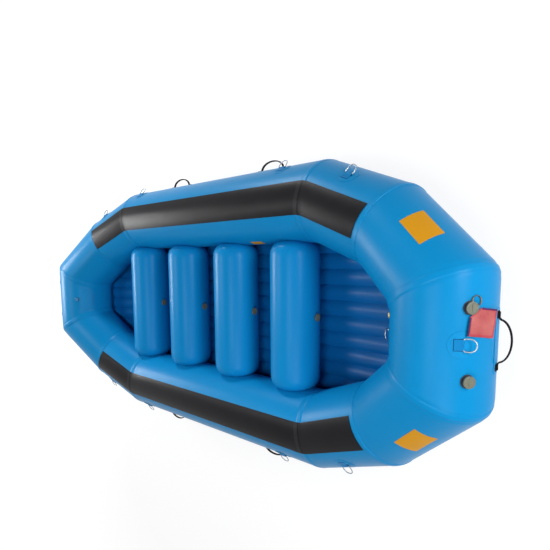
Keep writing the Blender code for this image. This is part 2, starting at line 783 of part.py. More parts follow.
def ring_patch_mesh():
    """A round patch with a webbing keeper and the tunnel for the ring's bar."""
    outline = []
    for k in range(PATCH_SIDES):
        angle = 2 * pi * k / PATCH_SIDES
        outline.append((PATCH_RADIUS * cos(angle), PATCH_RADIUS * sin(angle)))
    mesh, top = patch_mesh("ring_patch", outline)
    half = KEEPER_WIDTH / 2
    profile = keeper_profile(top)
    keeper = loft("keeper", [[(x, v, h) for v, h in profile] for x in (-half, half)])
    mesh = combine(mesh, keeper, "UNION")
    reach = half + OVERRUN
    tunnel = cylinder("tunnel", RING_ROD_RADIUS + BAR_PLAY, -reach, reach, 12, axis="X")
    tunnel.transform(Matrix.Translation((0, KEEPER_BAR_OFFSET, bar_height(top))))
    mesh = combine(mesh, tunnel, "DIFFERENCE")
    return wrap(mesh), top


def ring_path():
    """The rod's centreline: a straight bar on X, and a bow that reaches out along Y."""
    half = RING_INNER_WIDTH / 2 + RING_ROD_RADIUS
    corner = RING_CORNER_RADIUS
    reach = RING_INNER_REACH + 2 * RING_ROD_RADIUS
    crown = reach - half
    points = []
    for k in range(3):
        angle = -pi / 2 + k * pi / 4
        points.append((half - corner + corner * cos(angle), corner + corner * sin(angle)))
    for k in range(9):
        angle = k * pi / 8
        points.append((half * cos(angle), crown + half * sin(angle)))
    for k in range(3):
        angle = pi + k * pi / 4
        points.append((-half + corner + corner * cos(angle), corner + corner * sin(angle)))
    return points


def ring_mesh():
    """A D of round rod, lifted off the tube about its own bar."""
    curve = bpy.data.curves.new("ring", "CURVE")
    curve.dimensions = "3D"
    curve.bevel_depth = RING_ROD_RADIUS
    curve.bevel_resolution = 1
    points = ring_path()
    spline = curve.splines.new("POLY")
    spline.points.add(len(points) - 1)
    for point, (x, y) in zip(spline.points, points):
        point.co = Vector((x, y * cos(RING_REST_LIFT), y * sin(RING_REST_LIFT))).to_4d()
    spline.use_cyclic_u = True
    obj = bpy.data.objects.new("ring_curve", curve)
    bpy.context.scene.collection.objects.link(obj)
    depsgraph = bpy.context.evaluated_depsgraph_get()
    mesh = bpy.data.meshes.new_from_object(obj.evaluated_get(depsgraph))
    bpy.data.objects.remove(obj, do_unlink=True)
    bm = bmesh.new()
    bm.from_mesh(mesh)
    return make_mesh("ring", bm)


def ring_places():
    """Each steel ring's name with the frame of its patch on the tube."""
    places = {
        "bow_top": end_run(BOW).seat(0, RING_BOW_TOP_ANGLE),
        "bow_inner": end_run(BOW).seat(RING_BOW_INNER_Y, RING_BOW_INNER_ANGLE) @ Matrix.Rotation(pi, 4, "Z"),
    }
    for side_name, side in SIDES.items():
        side_tube = side_run(side)
        places[f"{side_name}_main_bow"] = side_tube.seat(RING_MAIN_BOW_X, RING_MAIN_ANGLE)
        places[f"{side_name}_main_stern"] = side_tube.seat(RING_MAIN_STERN_X, RING_MAIN_ANGLE)
        bow_kick = run(1, BOW, side)
        places[f"{side_name}_kick_bow"] = bow_kick.seat(RING_KICK_BOW_STATION, RING_KICK_ANGLE)
        stern_kick = run(1, STERN, side)
        places[f"{side_name}_kick_stern"] = stern_kick.seat(RING_KICK_STERN_STATION, RING_KICK_ANGLE)
    return places


def build_rings(finishes):
    """Steel rings in their webbing keepers."""
    patch, top = ring_patch_mesh()
    ring = ring_mesh()
    angle = KEEPER_BAR_OFFSET / TUBE_RADIUS
    reach = TUBE_RADIUS + bar_height(top)
    bar = Matrix.Translation((0, reach * sin(angle), reach * cos(angle) - TUBE_RADIUS))
    bar = bar @ Matrix.Rotation(-angle, 4, "X")
    for name, seat in ring_places().items():
        place(f"ring_patch_{name}", patch, finishes["patch"], seat)
        place(f"ring_{name}", ring, finishes["steel"], seat @ bar)


def handle_mesh():
    """A webbing loop whose ends lie flat on a long patch."""
    outline = rounded_outline(HANDLE_PATCH_LENGTH, HANDLE_PATCH_WIDTH, HANDLE_PATCH_CORNER)
    mesh, top = patch_mesh("handle", outline)
    root = top - PATCH_THICKNESS / 2
    half = STRAP_SPAN / 2
    tab = half + STRAP_TAB
    rise = STRAP_RISE - STRAP_THICKNESS
    inner = half - STRAP_THICKNESS
    under = [(-inner, root)]
    over = [(-tab, root), (-tab, top + STRAP_THICKNESS)]
    for k in range(STRAP_STEPS + 1):
        angle = pi * k / STRAP_STEPS
        under.append((-inner * cos(angle), top + rise * sin(angle)))
        over.append((-half * cos(angle), top + STRAP_THICKNESS + rise * sin(angle)))
    under.append((inner, root))
    over += [(tab, top + STRAP_THICKNESS), (tab, root)]
    side_view = over + list(reversed(under))
    width = STRAP_WIDTH / 2
    strap = loft("strap", [[(u, v, h) for u, h in side_view] for v in (-width, width)])
    return wrap(combine(mesh, strap, "UNION"))


def build_handles(finishes):
    """Grab loops: one on each end and two on each side."""
    mesh = handle_mesh()
    place("handle_bow", mesh, finishes["webbing"], end_run(BOW).seat(0, HANDLE_END_ANGLE))
    place("handle_stern", mesh, finishes["webbing"], end_run(STERN).seat(0, HANDLE_END_ANGLE))
    for name, side, x in (
        ("handle_port_bow", PORT, HANDLE_BOW_X),
        ("handle_port_stern", PORT, HANDLE_STERN_PORT_X),
        ("handle_starboard_bow", STARBOARD, HANDLE_BOW_X),
        ("handle_starboard_stern", STARBOARD, HANDLE_STERN_STARBOARD_X),
    ):
        place(name, mesh, finishes["webbing"], side_run(side).seat(x, HANDLE_ANGLE))


def relief_seat():
    """Where the bow relief valve sits: between the inner ring's patch and the seam tape.

    Where the end is too short for that, the valve goes down the tube until it clears the patch.
    """
    apart = PATCH_RADIUS + RELIEF_RADIUS + RELIEF_PATCH_GAP
    angle = RELIEF_BOW_ANGLE
    for _ in range(RELIEF_STEPS):
        y = end_limit(BOW, angle) - RELIEF_RADIUS - RELIEF_TAPE_GAP
        beside = min(apart, y - RING_BOW_INNER_Y)
        angle = RELIEF_BOW_ANGLE - sqrt(apart ** 2 - beside ** 2) / TUBE_RADIUS
    return end_run(BOW).seat(y, angle)


def relief_valve_mesh(name, stem_depth):
    """A round relief valve with an open mouth, and a stem into the chamber where one is asked for."""
    seat = RELIEF_SEAT
    rim = RELIEF_RADIUS * CAP_DOME_SHARE
    profile = [(0, seat)]
    if stem_depth:
        profile = [(0, -stem_depth), (RELIEF_STEM_RADIUS, -stem_depth), (RELIEF_STEM_RADIUS, seat)]
    profile += [(RELIEF_RADIUS, seat), (RELIEF_RADIUS, seat + FLANGE_DEPTH)]
    profile += [(rim, seat + FLANGE_DEPTH), (rim, RELIEF_HEIGHT - FLANGE_DEPTH)]
    profile += [(rim * CAP_DOME_SHARE, RELIEF_HEIGHT), (rim / 2, RELIEF_HEIGHT)]
    profile += [(rim / 2, RELIEF_HEIGHT - FLANGE_DEPTH), (0, RELIEF_HEIGHT - FLANGE_DEPTH)]
    mesh = revolve(name, profile, RELIEF_SIDES)
    for vertex in mesh.vertices:
        if hypot(vertex.co.x, vertex.co.y) > rim + CLEARANCE:
            vertex.co.z -= sag(vertex.co.y)
    return mesh


def build_relief_valves(finishes):
    """Small round relief valves on the inner faces of the two end tubes."""
    bow = relief_valve_mesh("relief_valve_bow", RELIEF_STEM_DEPTH)
    place(bow.name, bow, finishes["brass"], relief_seat())
    stern = relief_valve_mesh("relief_valve_stern", 0)
    stern_seat = end_run(STERN).seat(RELIEF_STERN_Y, RELIEF_STERN_ANGLE)
    place(stern.name, stern, finishes["brass"], stern_seat)


def build_stern_patch(finishes):
    """A rounded patch on the stern tube's inner face."""
    edge_angle = STERN_PATCH_ANGLE - STERN_PATCH_WIDTH / TUBE_RADIUS / 2
    half_length = end_limit(STERN, edge_angle) - STERN_PATCH_TAPE_GAP
    outline = rounded_outline(2 * half_length, STERN_PATCH_WIDTH, STERN_PATCH_CORNER)
    mesh, _ = patch_mesh("stern_patch", outline)
    place("stern_patch", wrap(mesh), finishes["patch"], end_run(STERN).seat(0, STERN_PATCH_ANGLE))


def floor_rise(x):
    """How far the floor is lifted at x: it follows the undersides of the kicked-up tubes."""
    away = abs(x)
    if away <= MAIN_CORNER_X:
        return 0.0
    if away <= KICK_CORNER_X:
        return KICK_RISE * (away - MAIN_CORNER_X) / (KICK_CORNER_X - MAIN_CORNER_X)
    slope = (END_RISE - KICK_RISE) / (END_CORNER_X - KICK_CORNER_X)
    return KICK_RISE + slope * (away - KICK_CORNER_X)


def segment_distance(point, start, end):
    """How far a point lies from a straight line between two points."""
    foot, share = intersect_point_line(point, start, end)
    if share < 0:
        foot = start
    elif share > 1:
        foot = end
    return (point - foot).length


def slide_clear(start, inward, height, seat, runs):
    """Slides a point of the floor's plan inboard until an edge at this height clears the tube's runs."""
    near, far = 0.0, TUBE_RADIUS
    for _ in range(FLOOR_HALVINGS):
        inset = (near + far) / 2
        x, y = start + inward * inset
        point = Vector((x, y, height + floor_rise(x)))
        if min(segment_distance(point, before, after) for before, after in runs) < seat:
            near = inset
        else:
            far = inset
    return start + inward * far


def floor_outline(height, seat, clearance):
    """The plan outline whose edge at this height meets the tube, clockwise from the stern."""
    axis = [axis_point(number, BOW, PORT) for number in range(5)]
    runs = list(zip(axis, axis[1:]))
    ways = [(after - before).to_2d().normalized() for before, after in runs]
    points = []
    for corner, pair, ahead, beyond in zip(axis[1:3], zip(runs, runs[1:]), ways, ways[1:]):
        bisector = (ahead + beyond).normalized()
        inward = Vector((bisector.y, -bisector.x)) / ahead.dot(bisector)
        points.append(slide_clear(corner.to_2d(), inward, height, seat, pair) + inward * clearance)
    astern, inboard = Vector((-1, 0)), Vector((0, -1))
    end = slide_clear(axis[4].to_2d(), astern, height, seat, runs[3:]) + astern * clearance
    last = slide_clear(Vector((end.x, axis[3].y)), inboard, height, seat, runs[2:])
    points.append(last + inboard * clearance)
    bow = [(p.x, p.y) for p in points]
    ring = bow + [(x, -y) for x, y in reversed(bow)]
    return ring + [(-x, -y) for x, y in bow] + [(-x, y) for x, y in reversed(bow)]


def bent_slab(name, section, stations):
    """A section of (y, z) points carried along X over the floor's rise."""
    return loft(name, [[(x, y, z + floor_rise(x)) for y, z in section] for x in stations])


def beam_section():
    """Across the floor: a row of round beams, with a flat under each where it meets the ground."""
    half = FLOOR_BEAM_PITCH / 2
    middle = FLOOR_THICKNESS / 2
    web = middle * FLOOR_WEB_SHARE
    edge = FLOOR_BEAM_COUNT * half
    upper = []
    for beam in range(FLOOR_BEAM_COUNT):
        centre = beam * FLOOR_BEAM_PITCH - edge + half
        for share in (-1.0, -0.6, -0.2, 0.2, 0.6):
            crown = sqrt(1 - share ** 2)
            upper.append((centre + share * half, web + (middle - web) * crown))
    upper.append((edge, web))
    top = [(y, middle + z) for y, z in upper]
    flat = FLOOR_FLAT_WIDTH / 2
    bottom = []
    for beam in range(FLOOR_BEAM_COUNT):
        centre = edge - half - beam * FLOOR_BEAM_PITCH
        bottom += [(centre + half, middle - web), (centre + flat, 0), (centre - flat, 0)]
    bottom.append((-edge, middle - web))
    return top + bottom


def build_floor(finishes):
    """The inflated mat, cut to the tubes' inner outline, with its lacing flange."""
    reach = END_CORNER_X
    stations = [-reach, -KICK_CORNER_X, -MAIN_CORNER_X, MAIN_CORNER_X, KICK_CORNER_X, reach]
    mat = bent_slab("floor", beam_section(), stations)
    depth = TUBE_RADIUS + END_RISE
    plan = floor_outline(FLOOR_THICKNESS, TUBE_RADIUS, FLOOR_END_CLEARANCE)
    trim = loft("trim", [[(x, y, z) for x, y in plan] for z in (-OVERRUN, depth)])
    mat = combine(mat, trim, "INTERSECT")
    flange_top = LACING_HEIGHT + LACING_THICKNESS / 2
    plan = floor_outline(flange_top, TUBE_RADIUS + SEAM_TAPE_THICKNESS + CLEARANCE, 0)
    edge = SIDE_AXIS_Y
    low, high = flange_top - LACING_THICKNESS, flange_top
    plate = bent_slab("flange", [(-edge, low), (edge, low), (edge, high), (-edge, high)], stations)
    trim = loft("trim", [[(x, y, z) for x, y in plan] for z in (-OVERRUN, depth)])
    plate = combine(plate, trim, "INTERSECT")
    place("floor", combine(mat, plate, "UNION"), finishes["floor"])


def main():
    clear_scene()
    finishes = {
        "blue": make_material("coated_fabric_blue", (0.01, 0.22, 0.62), 0.28),
        "floor": make_material("floor_fabric", (0.01, 0.12, 0.42), 0.4),
        "patch": make_material("patch_fabric_blue", (0.02, 0.26, 0.66), 0.35),
        "fabric": make_material("baffle_fabric", (0.25, 0.27, 0.3), 0.8),
        "strip": make_material("wear_strip_black", (0.02, 0.02, 0.022), 0.45),
        "webbing": make_material("webbing_black", (0.01, 0.01, 0.01), 0.8),
        "steel": make_material("stainless_steel", (0.7, 0.7, 0.7), 0.2, 1.0),
        "collar": make_material("valve_collar", (0.02, 0.03, 0.05), 0.5),
        "cap": make_material("valve_cap", (0.33, 0.31, 0.25), 0.45),
        "tag": make_material("tag_red", (0.7, 0.16, 0.15), 0.4),
        "brass": make_material("relief_valve_brass", (0.55, 0.42, 0.12), 0.35, 0.6),
    }
    build_chambers(finishes)
    build_baffles(finishes)
    build_wear_strips(finishes)
    build_thwarts(finishes)
    build_floor(finishes)
    build_rings(finishes)
    build_handles(finishes)
    build_valves(finishes)
    build_split_ring(finishes)
    build_tag(finishes)
    build_relief_valves(finishes)
    build_stern_patch(finishes)


main()
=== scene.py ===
from math import atan2, cos, hypot, pi, radians, sin, sqrt

import bmesh
import bpy
from mathutils import Matrix, Vector


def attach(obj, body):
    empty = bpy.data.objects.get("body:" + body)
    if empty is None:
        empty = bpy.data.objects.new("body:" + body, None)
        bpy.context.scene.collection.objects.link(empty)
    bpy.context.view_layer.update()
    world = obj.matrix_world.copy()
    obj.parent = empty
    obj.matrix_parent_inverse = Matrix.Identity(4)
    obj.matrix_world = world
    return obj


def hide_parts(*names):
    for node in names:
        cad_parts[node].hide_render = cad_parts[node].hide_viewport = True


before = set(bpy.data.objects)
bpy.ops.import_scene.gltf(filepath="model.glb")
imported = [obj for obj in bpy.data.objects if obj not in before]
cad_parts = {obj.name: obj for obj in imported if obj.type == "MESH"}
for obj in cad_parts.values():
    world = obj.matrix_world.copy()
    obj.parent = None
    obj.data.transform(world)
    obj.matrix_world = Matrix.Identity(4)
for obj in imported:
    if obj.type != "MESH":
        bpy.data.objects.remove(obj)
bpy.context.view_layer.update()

# Sizes of the raft, in metres, as the solids have them.
TUBE_RADIUS = 0.25
TUBE_SIDES = 96
SKIN_INSET = 0.0004
AXIS_Z = 0.2496
SIDE_AXIS_Y = 0.734
CORNERS = (
    (0, SIDE_AXIS_Y, 0), (1.05, SIDE_AXIS_Y, 0), (1.552, 0.547, 0.068), (1.921, 0.235, 0.2),
    (1.921, 0, 0.2))
UP = Vector((0, 0, 1))
BOW, STERN = 1, -1
PORT, STARBOARD = 1, -1
ENDS = {"bow": BOW, "stern": STERN}
SIDES = {"port": PORT, "starboard": STARBOARD}
BEND_WIDTHS = (0.040, 0.022, 0.045)
TAPE_INSET = 0.0006
TAPE_HALF = 0.02
TAPE_CREST = 0.012
TAPE_THICKNESS = 0.0010
TAPE_RISE = 0.0022
STRIP_ARC = (radians(-20.5), radians(26))
STRIP_RISE = 0.0012
STRIP_THICKNESS = 0.0021
STRIP_END = TAPE_HALF + 0.0005
SEAM_HALF = 0.0035
SEAM_RISE = 0.0032
BAND_START, BAND_END = 0.004, 0.034
BAND_RISE = 0.0026
THWART_RADIUS = 0.168
THWART_LENGTH = 1.00
THWART_GAP = 0.0012
THWART_ROUNDING = 0.105
THWART_Z = 0.262
THWART_X = (-0.985, -0.391, 0.203, 0.797)
FLOOR_TOP = 0.0937
BEAM_PITCH = 0.104
BEAMS = 10
MERGE = 0.00005
LIFT = 0.05


# Tools for modelling.

def object_mode():
    """Leaves edit mode and lets go of every object."""
    if bpy.context.mode != "OBJECT":
        bpy.ops.object.mode_set(mode="OBJECT")
    bpy.ops.object.select_all(action="DESELECT")


def take(obj):
    """Makes one object the only one in hand."""
    object_mode()
    obj.select_set(True)
    bpy.context.view_layer.objects.active = obj
    return obj


def edit(obj, kind="EDGE"):
    """Opens a piece for shaping."""
    take(obj)
    bpy.ops.object.mode_set(mode="EDIT")
    bpy.ops.mesh.select_mode(type=kind)


def choose(obj, kind, test):
    """Opens a piece and picks the vertices, edges or faces whose place passes a test."""
    edit(obj, kind)
    bpy.ops.mesh.select_all(action="DESELECT")
    mesh = bmesh.from_edit_mesh(obj.data)
    parts = {"VERT": mesh.verts, "EDGE": mesh.edges, "FACE": mesh.faces}[kind]
    for part in parts:
        if test(part):
            part.select_set(True)
    mesh.select_flush_mode()
    bmesh.update_edit_mesh(obj.data)


def cut(point, normal, clear=True, fill=False):
    """Cuts what is open along a plane; what lies beyond the plane goes if clear is set."""
    bpy.ops.mesh.select_all(action="SELECT")
    bpy.ops.mesh.bisect(plane_co=point, plane_no=normal, clear_outer=clear, use_fill=fill)


def face_outward():
    """Turns every face of what is open outward."""
    bpy.ops.mesh.select_all(action="SELECT")
    bpy.ops.mesh.normals_make_consistent(inside=False)
    object_mode()


def added(name):
    """The piece that was added last, under its name."""
    piece = bpy.context.view_layer.objects.active
    piece.name = piece.data.name = name
    return piece


def join(pieces, name):
    """Joins pieces to one and merges the points that meet."""
    take(pieces[0])
    for piece in pieces:
        piece.select_set(True)
    if len(pieces) > 1:
        bpy.ops.object.join()
    obj = added(name)
    edit(obj)
    bpy.ops.mesh.select_all(action="SELECT")
    bpy.ops.mesh.remove_doubles(threshold=MERGE)
    face_outward()
    return obj


def settle(obj):
    """Puts a piece's place, turn and size into its mesh."""
    take(obj)
    bpy.ops.object.transform_apply(location=True, rotation=True, scale=True)
    return obj


def apply_modifier(obj, kind, **settings):
    """Adds a modifier and applies it."""
    take(obj)
    modifier = obj.modifiers.new(kind.lower(), kind)
    for key, value in settings.items():
        setattr(modifier, key, value)
    bpy.ops.object.modifier_apply(modifier=modifier.name)


def round_edges(obj, width, segments=2, angle=50):
    """Rounds the edges that turn by more than an angle in degrees."""
    apply_modifier(
        obj, "BEVEL", width=width, segments=segments, limit_method="ANGLE",
        angle_limit=radians(angle))


def smooth(obj, angle=radians(35)):
    """Shades a piece smooth but for its sharp edges."""
    take(obj)
    bpy.ops.object.shade_smooth_by_angle(angle=angle)
    apply_modifier(obj, "WEIGHTED_NORMAL", keep_sharp=True, weight=50)


def finish(obj, material, slot, body="raft", replaces=(), angle=radians(35)):
    """Gives a piece its finish and the body that it moves with."""
    settle(obj)
    smooth(obj, angle)
    obj.data.materials.clear()
    obj.data.materials.append(material)
    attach(obj, body)
    if replaces:
        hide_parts(*replaces)
    return obj


def turned(name, steps, sides=64):
    """A turned piece: a disc drawn up through (radius, height) steps, face by face."""
    object_mode()
    radius, height = steps[0]
    bpy.ops.mesh.primitive_circle_add(
        vertices=sides, radius=radius, fill_type="NGON", location=(0, 0, 0))
    piece = added(name)
    edit(piece, "FACE")
    bpy.ops.mesh.select_all(action="SELECT")
    bpy.ops.transform.translate(value=(0, 0, height))
    for wide, high in steps[1:]:
        bpy.ops.mesh.extrude_region_move(TRANSFORM_OT_translate={"value": (0, 0, high - height)})
        share = wide / radius
        if share != 1:
            bpy.ops.transform.resize(value=(share, share, 1), center_override=(0, 0, high))
        radius, height = wide, high
    face_outward()
    return piece


def flute(piece, low, high, count, depth):
    """Presses grooves into the rim of a turned piece between two heights."""
    def in_groove(face):
        centre = face.calc_center_median()
        turn = (atan2(centre.y, centre.x) / (2 * pi) * count) % 1
        return low < centre.z < high and abs(face.normal.z) < 0.5 and turn < 0.5
    choose(piece, "FACE", in_groove)
    bpy.ops.mesh.inset(thickness=0.0001, depth=-depth, use_individual=False)
    object_mode()


def ribbon(name, width, path, thickness, across="X"):
    """A strap that follows a side view: a strip drawn on from point to point, then thickened."""
    object_mode()
    bpy.ops.mesh.primitive_plane_add(size=1, location=(0, 0, 0))
    strap = added(name)
    (a, h), (b, g) = path[:2]
    strap.scale = (width, b - a, 1) if across == "X" else (b - a, width, 1)
    strap.location = (0, (a + b) / 2, h) if across == "X" else ((a + b) / 2, 0, h)
    settle(strap)
    axis = 1 if across == "X" else 0
    choose(strap, "EDGE", lambda e: all(abs(v.co[axis] - b) < MERGE for v in e.verts))
    for (a, h), (b, g) in zip(path[1:], path[2:]):
        step = (0, b - a, g - h) if across == "X" else (b - a, 0, g - h)
        bpy.ops.mesh.extrude_region_move(TRANSFORM_OT_translate={"value": step})
    face_outward()
    apply_modifier(strap, "SOLIDIFY", thickness=thickness, offset=0)
    round_edges(strap, thickness * 0.3)
    return strap


def wire(name, corners, rod, round_off=0.0, segments=5, closed=True):
    """Round rod bent through points: a line from point to point, rounded and given a section."""
    object_mode()
    bpy.ops.mesh.primitive_plane_add(size=1, location=(0, 0, 0))
    piece = added(name)
    edit(piece, "VERT")
    bpy.ops.mesh.select_all(action="SELECT")
    bpy.ops.mesh.merge(type="CENTER")
    bpy.ops.transform.translate(value=corners[0])
    for here, there in zip(corners, corners[1:]):
        step = Vector(there) - Vector(here)
        bpy.ops.mesh.extrude_region_move(TRANSFORM_OT_translate={"value": step})
    if closed:
        tips = Vector(corners[0]), Vector(corners[-1])
        choose(piece, "VERT", lambda v: min((v.co - tip).length for tip in tips) < MERGE)
        bpy.ops.mesh.edge_face_add()
    if round_off:
        bpy.ops.mesh.select_all(action="SELECT")
        bpy.ops.mesh.bevel(offset=round_off, segments=segments, affect="VERTICES")
    object_mode()
    take(piece)
    bpy.ops.object.convert(target="CURVE")
    piece = bpy.context.view_layer.objects.active
    piece.data.bevel_depth = rod
    piece.data.bevel_resolution = 4
    piece.data.use_fill_caps = not closed
    bpy.ops.object.convert(target="MESH")
    return bpy.context.view_layer.objects.active


def lay_on_tube(piece, level, thickness, radius=TUBE_RADIUS, rim=0.0005):
    """Bends a flat outline round a tube that runs along X under it, and thickens it."""
    reach = max(abs(v.co.y) for v in piece.data.vertices)
    rows = int(2 * reach / 0.005)
    edit(piece)
    for row in range(1, rows):
        cut((0, -reach + row * 2 * reach / rows, 0), (0, 1, 0), clear=False)
    object_mode()
    bpy.ops.mesh.primitive_cylinder_add(
        vertices=512, radius=radius + level, depth=2, location=(0, 0, -radius),
        rotation=(0, pi / 2, 0))
    form = settle(bpy.context.view_layer.objects.active)
    apply_modifier(
        piece, "SHRINKWRAP", target=form, wrap_method="PROJECT", use_project_z=True,
        use_negative_direction=True)
    bpy.data.objects.remove(form, do_unlink=True)
    edit(piece)
    face_outward()
    if piece.data.polygons[0].normal.z < 0:
        edit(piece)
        bpy.ops.mesh.select_all(action="SELECT")
        bpy.ops.mesh.flip_normals()
        object_mode()
    apply_modifier(piece, "SOLIDIFY", thickness=thickness, offset=1)
    if rim:
        round_edges(piece, rim, angle=60)
    return piece


def disc(name, radius, lift=LIFT):
    """A flat round outline, above the form it is laid on."""
    object_mode()
    bpy.ops.mesh.primitive_circle_add(
        vertices=64, radius=radius, fill_type="NGON", location=(0, 0, lift))
    return settle(added(name))


def panel(name, length, width, corner, lift=LIFT):
    """A flat outline with rounded corners, above the form it is laid on."""
    object_mode()
    bpy.ops.mesh.primitive_plane_add(size=1, location=(0, 0, lift))
    piece = added(name)
    piece.scale = (length, width, 1)
    settle(piece)
    if corner:
        edit(piece, "VERT")
        bpy.ops.mesh.select_all(action="SELECT")
        bpy.ops.mesh.bevel(offset=corner, segments=6, affect="VERTICES")
        object_mode()
    return piece


def put(piece, matrix):
    """Moves a finished piece from the origin to its place."""
    piece.matrix_world = matrix @ piece.matrix_world
    return settle(piece)


# Finishes.

class Link:
    """An output of a node that takes part in sums."""

    def __init__(self, finish, socket):
        self.finish = finish
        self.socket = socket

    def sum_with(self, operation, *values):
        return self.finish.add(
            "ShaderNodeMath", {"operation": operation}, dict(enumerate(values)))

    def __add__(self, other):
        return self.sum_with("ADD", self, other)

    def __radd__(self, other):
        return self.sum_with("ADD", other, self)

    def __sub__(self, other):
        return self.sum_with("SUBTRACT", self, other)

    def __mul__(self, other):
        return self.sum_with("MULTIPLY", self, other)

    def __rmul__(self, other):
        return self.sum_with("MULTIPLY", other, self)


class Finish:
    """A material that is put together node by node."""

    def __init__(self, name, color, roughness, metallic=0.0, **constants):
        self.material = bpy.data.materials.new(name)
        self.material.use_nodes = True
        self.tree = self.material.node_tree
        self.shader = self.tree.nodes["Principled BSDF"]
        self.shader.inputs["Base Color"].default_value = (*color, 1)
        self.shader.inputs["Roughness"].default_value = roughness
        self.shader.inputs["Metallic"].default_value = metallic
        for socket, value in constants.items():
            self.shader.inputs[socket.replace("_", " ")].default_value = value
        self.material.diffuse_color = (*color, 1)
        self.place = None

    def feed(self, socket, value):
        if isinstance(value, Link):
            self.tree.links.new(value.socket, socket)
        else:
            socket.default_value = value

    def add(self, kind, settings=None, inputs=None, output=0):
        node = self.tree.nodes.new(kind)
        for key, value in (settings or {}).items():
            setattr(node, key, value)
        for key, value in (inputs or {}).items():
            self.feed(node.inputs[key], value)
        return Link(self, node.outputs[output])

    def where(self):
        if self.place is None:
            self.place = self.add("ShaderNodeTexCoord", output="Object")
        return self.place

    def noise(self, scale, detail):
        inputs = {"Vector": self.where(), "Scale": scale, "Detail": detail, "Roughness": 0.5}
        return self.add("ShaderNodeTexNoise", {}, inputs)

    def shade(self, factor, dark, light):
        settings = {"data_type": "RGBA"}
        inputs = {0: factor, 6: (*dark, 1), 7: (*light, 1)}
        return self.add("ShaderNodeMix", settings, inputs, output=2)

    def drive(self, **links):
        for socket, value in links.items():
            self.feed(self.shader.inputs[socket.replace("_", " ")], value)

    def relief(self, height, distance, strength=1.0):
        inputs = {"Height": height, "Distance": distance, "Strength": strength}
        self.drive(Normal=self.add("ShaderNodeBump", {}, inputs))


def mixed(color, share):
    """A colour made lighter (over 1) or darker (under 1)."""
    return tuple(min(1, channel * share) for channel in color)


def coated_fabric(name, color, roughness, weave=0.00004, gloss=0.09):
    """Coated boat fabric: even colour, a soft gloss and the weave just showing through."""
    finish = Finish(name, color, roughness, Specular_IOR_Level=gloss)
    cloud = finish.noise(2.2, 3)
    speckle = finish.noise(60, 2)
    mottle = cloud * 0.7 + speckle * 0.3
    finish.drive(Base_Color=finish.shade(mottle, mixed(color, 0.92), mixed(color, 1.06)))
    finish.drive(Roughness=roughness - 0.05 + 0.1 * finish.noise(9, 4))
    weave_height = finish.noise(900, 1) * 0.4 + finish.noise(6, 3) * 0.6
    finish.relief(weave_height, weave * 20, 0.35)
    return finish.material


def wear_sheet(name, color):
    """Black wear sheet: a fine grain and a grey bloom."""
    finish = Finish(name, color, 0.30, Specular_IOR_Level=0.09)
    bloom = finish.noise(5, 4)
    finish.drive(Base_Color=finish.shade(bloom, mixed(color, 0.7), mixed(color, 1.5)))
    finish.drive(Roughness=0.27 + 0.14 * finish.noise(14, 3))
    finish.relief(finish.noise(700, 2), 0.0006, 0.3)
    return finish.material


def webbing(name, color):
    """Woven webbing: fine ribs across and a matt face."""
    finish = Finish(name, color, 0.75, Specular_IOR_Level=0.1)
    ribs = finish.noise(300, 2)
    finish.drive(Base_Color=finish.shade(ribs, mixed(color, 0.6), mixed(color, 1.6)))
    finish.relief(finish.noise(1200, 2), 0.0006, 0.5)
    return finish.material


def tag_film(name, deep, pale):
    """Thin red film over a card, its colour clouded between deep and pale red by noise: painted
    light and shade for the film's highlights and darker parts.
    """
    finish = Finish(name, pale, 0.25, Specular_IOR_Level=0.3)
    finish.drive(Base_Color=finish.shade(finish.noise(11, 1) * 1.6 - 0.3, deep, pale))
    finish.drive(Roughness=0.18 + 0.2 * finish.noise(20, 2))
    finish.relief(finish.noise(16, 2), 0.002, 0.5)
    return finish.material


def metal(name, color, roughness):
    """Polished or worn metal."""
    finish = Finish(name, color, roughness, 1.0)
    finish.drive(Roughness=roughness - 0.06 + 0.14 * finish.noise(90, 3))
    finish.drive(Base_Color=finish.shade(finish.noise(40, 3), mixed(color, 0.85), color))
    return finish.material


def moulded(name, color, roughness):
    """Moulded plastic: a little mottled, with a fine grain."""
    finish = Finish(name, color, roughness)
    mottle = finish.noise(80, 4)
    finish.drive(Base_Color=finish.shade(mottle, mixed(color, 0.75), mixed(color, 1.2)))
    finish.drive(Roughness=roughness - 0.06 + 0.12 * finish.noise(150, 3))
    finish.relief(finish.noise(1500, 2), 0.0004, 0.3)
    return finish.material


BLUE = (0.003, 0.245, 0.555)
tube_blue = coated_fabric("tube_blue", BLUE, 0.33)
thwart_blue = coated_fabric("thwart_blue", (0.003, 0.238, 0.565), 0.30)
# The floor's blue is the tube's blue made darker: painted shade of the floor between the tubes and
# thwarts.
floor_shaded_blue = coated_fabric("floor_shaded_blue", (0.002, 0.145, 0.430), 0.32, gloss=0.22)
patch_blue = coated_fabric("patch_blue", (0.003, 0.255, 0.575), 0.36)
strip_black = wear_sheet("strip_black", (0.006, 0.006, 0.0075))
# Lap band a little lighter than the strip: a painted highlight on the raised band.
highlit_lap_band = wear_sheet("highlit_lap_band", (0.014, 0.014, 0.016))
# Near-black line over each main seam of the strips: painted shade of the gap at the joint.
seam_shade_black = wear_sheet("seam_shade_black", (0.002, 0.002, 0.0025))
patch_yellow = coated_fabric("patch_yellow", (0.660, 0.300, 0.012), 0.42)
# Deep and pale red of the tag's film and card: the clouds between them are painted light and shade.
tag_red = tag_film("tag_red", (0.360, 0.022, 0.050), (0.480, 0.085, 0.090))
tag_card = tag_film("tag_card", (0.370, 0.045, 0.055), (0.530, 0.170, 0.150))
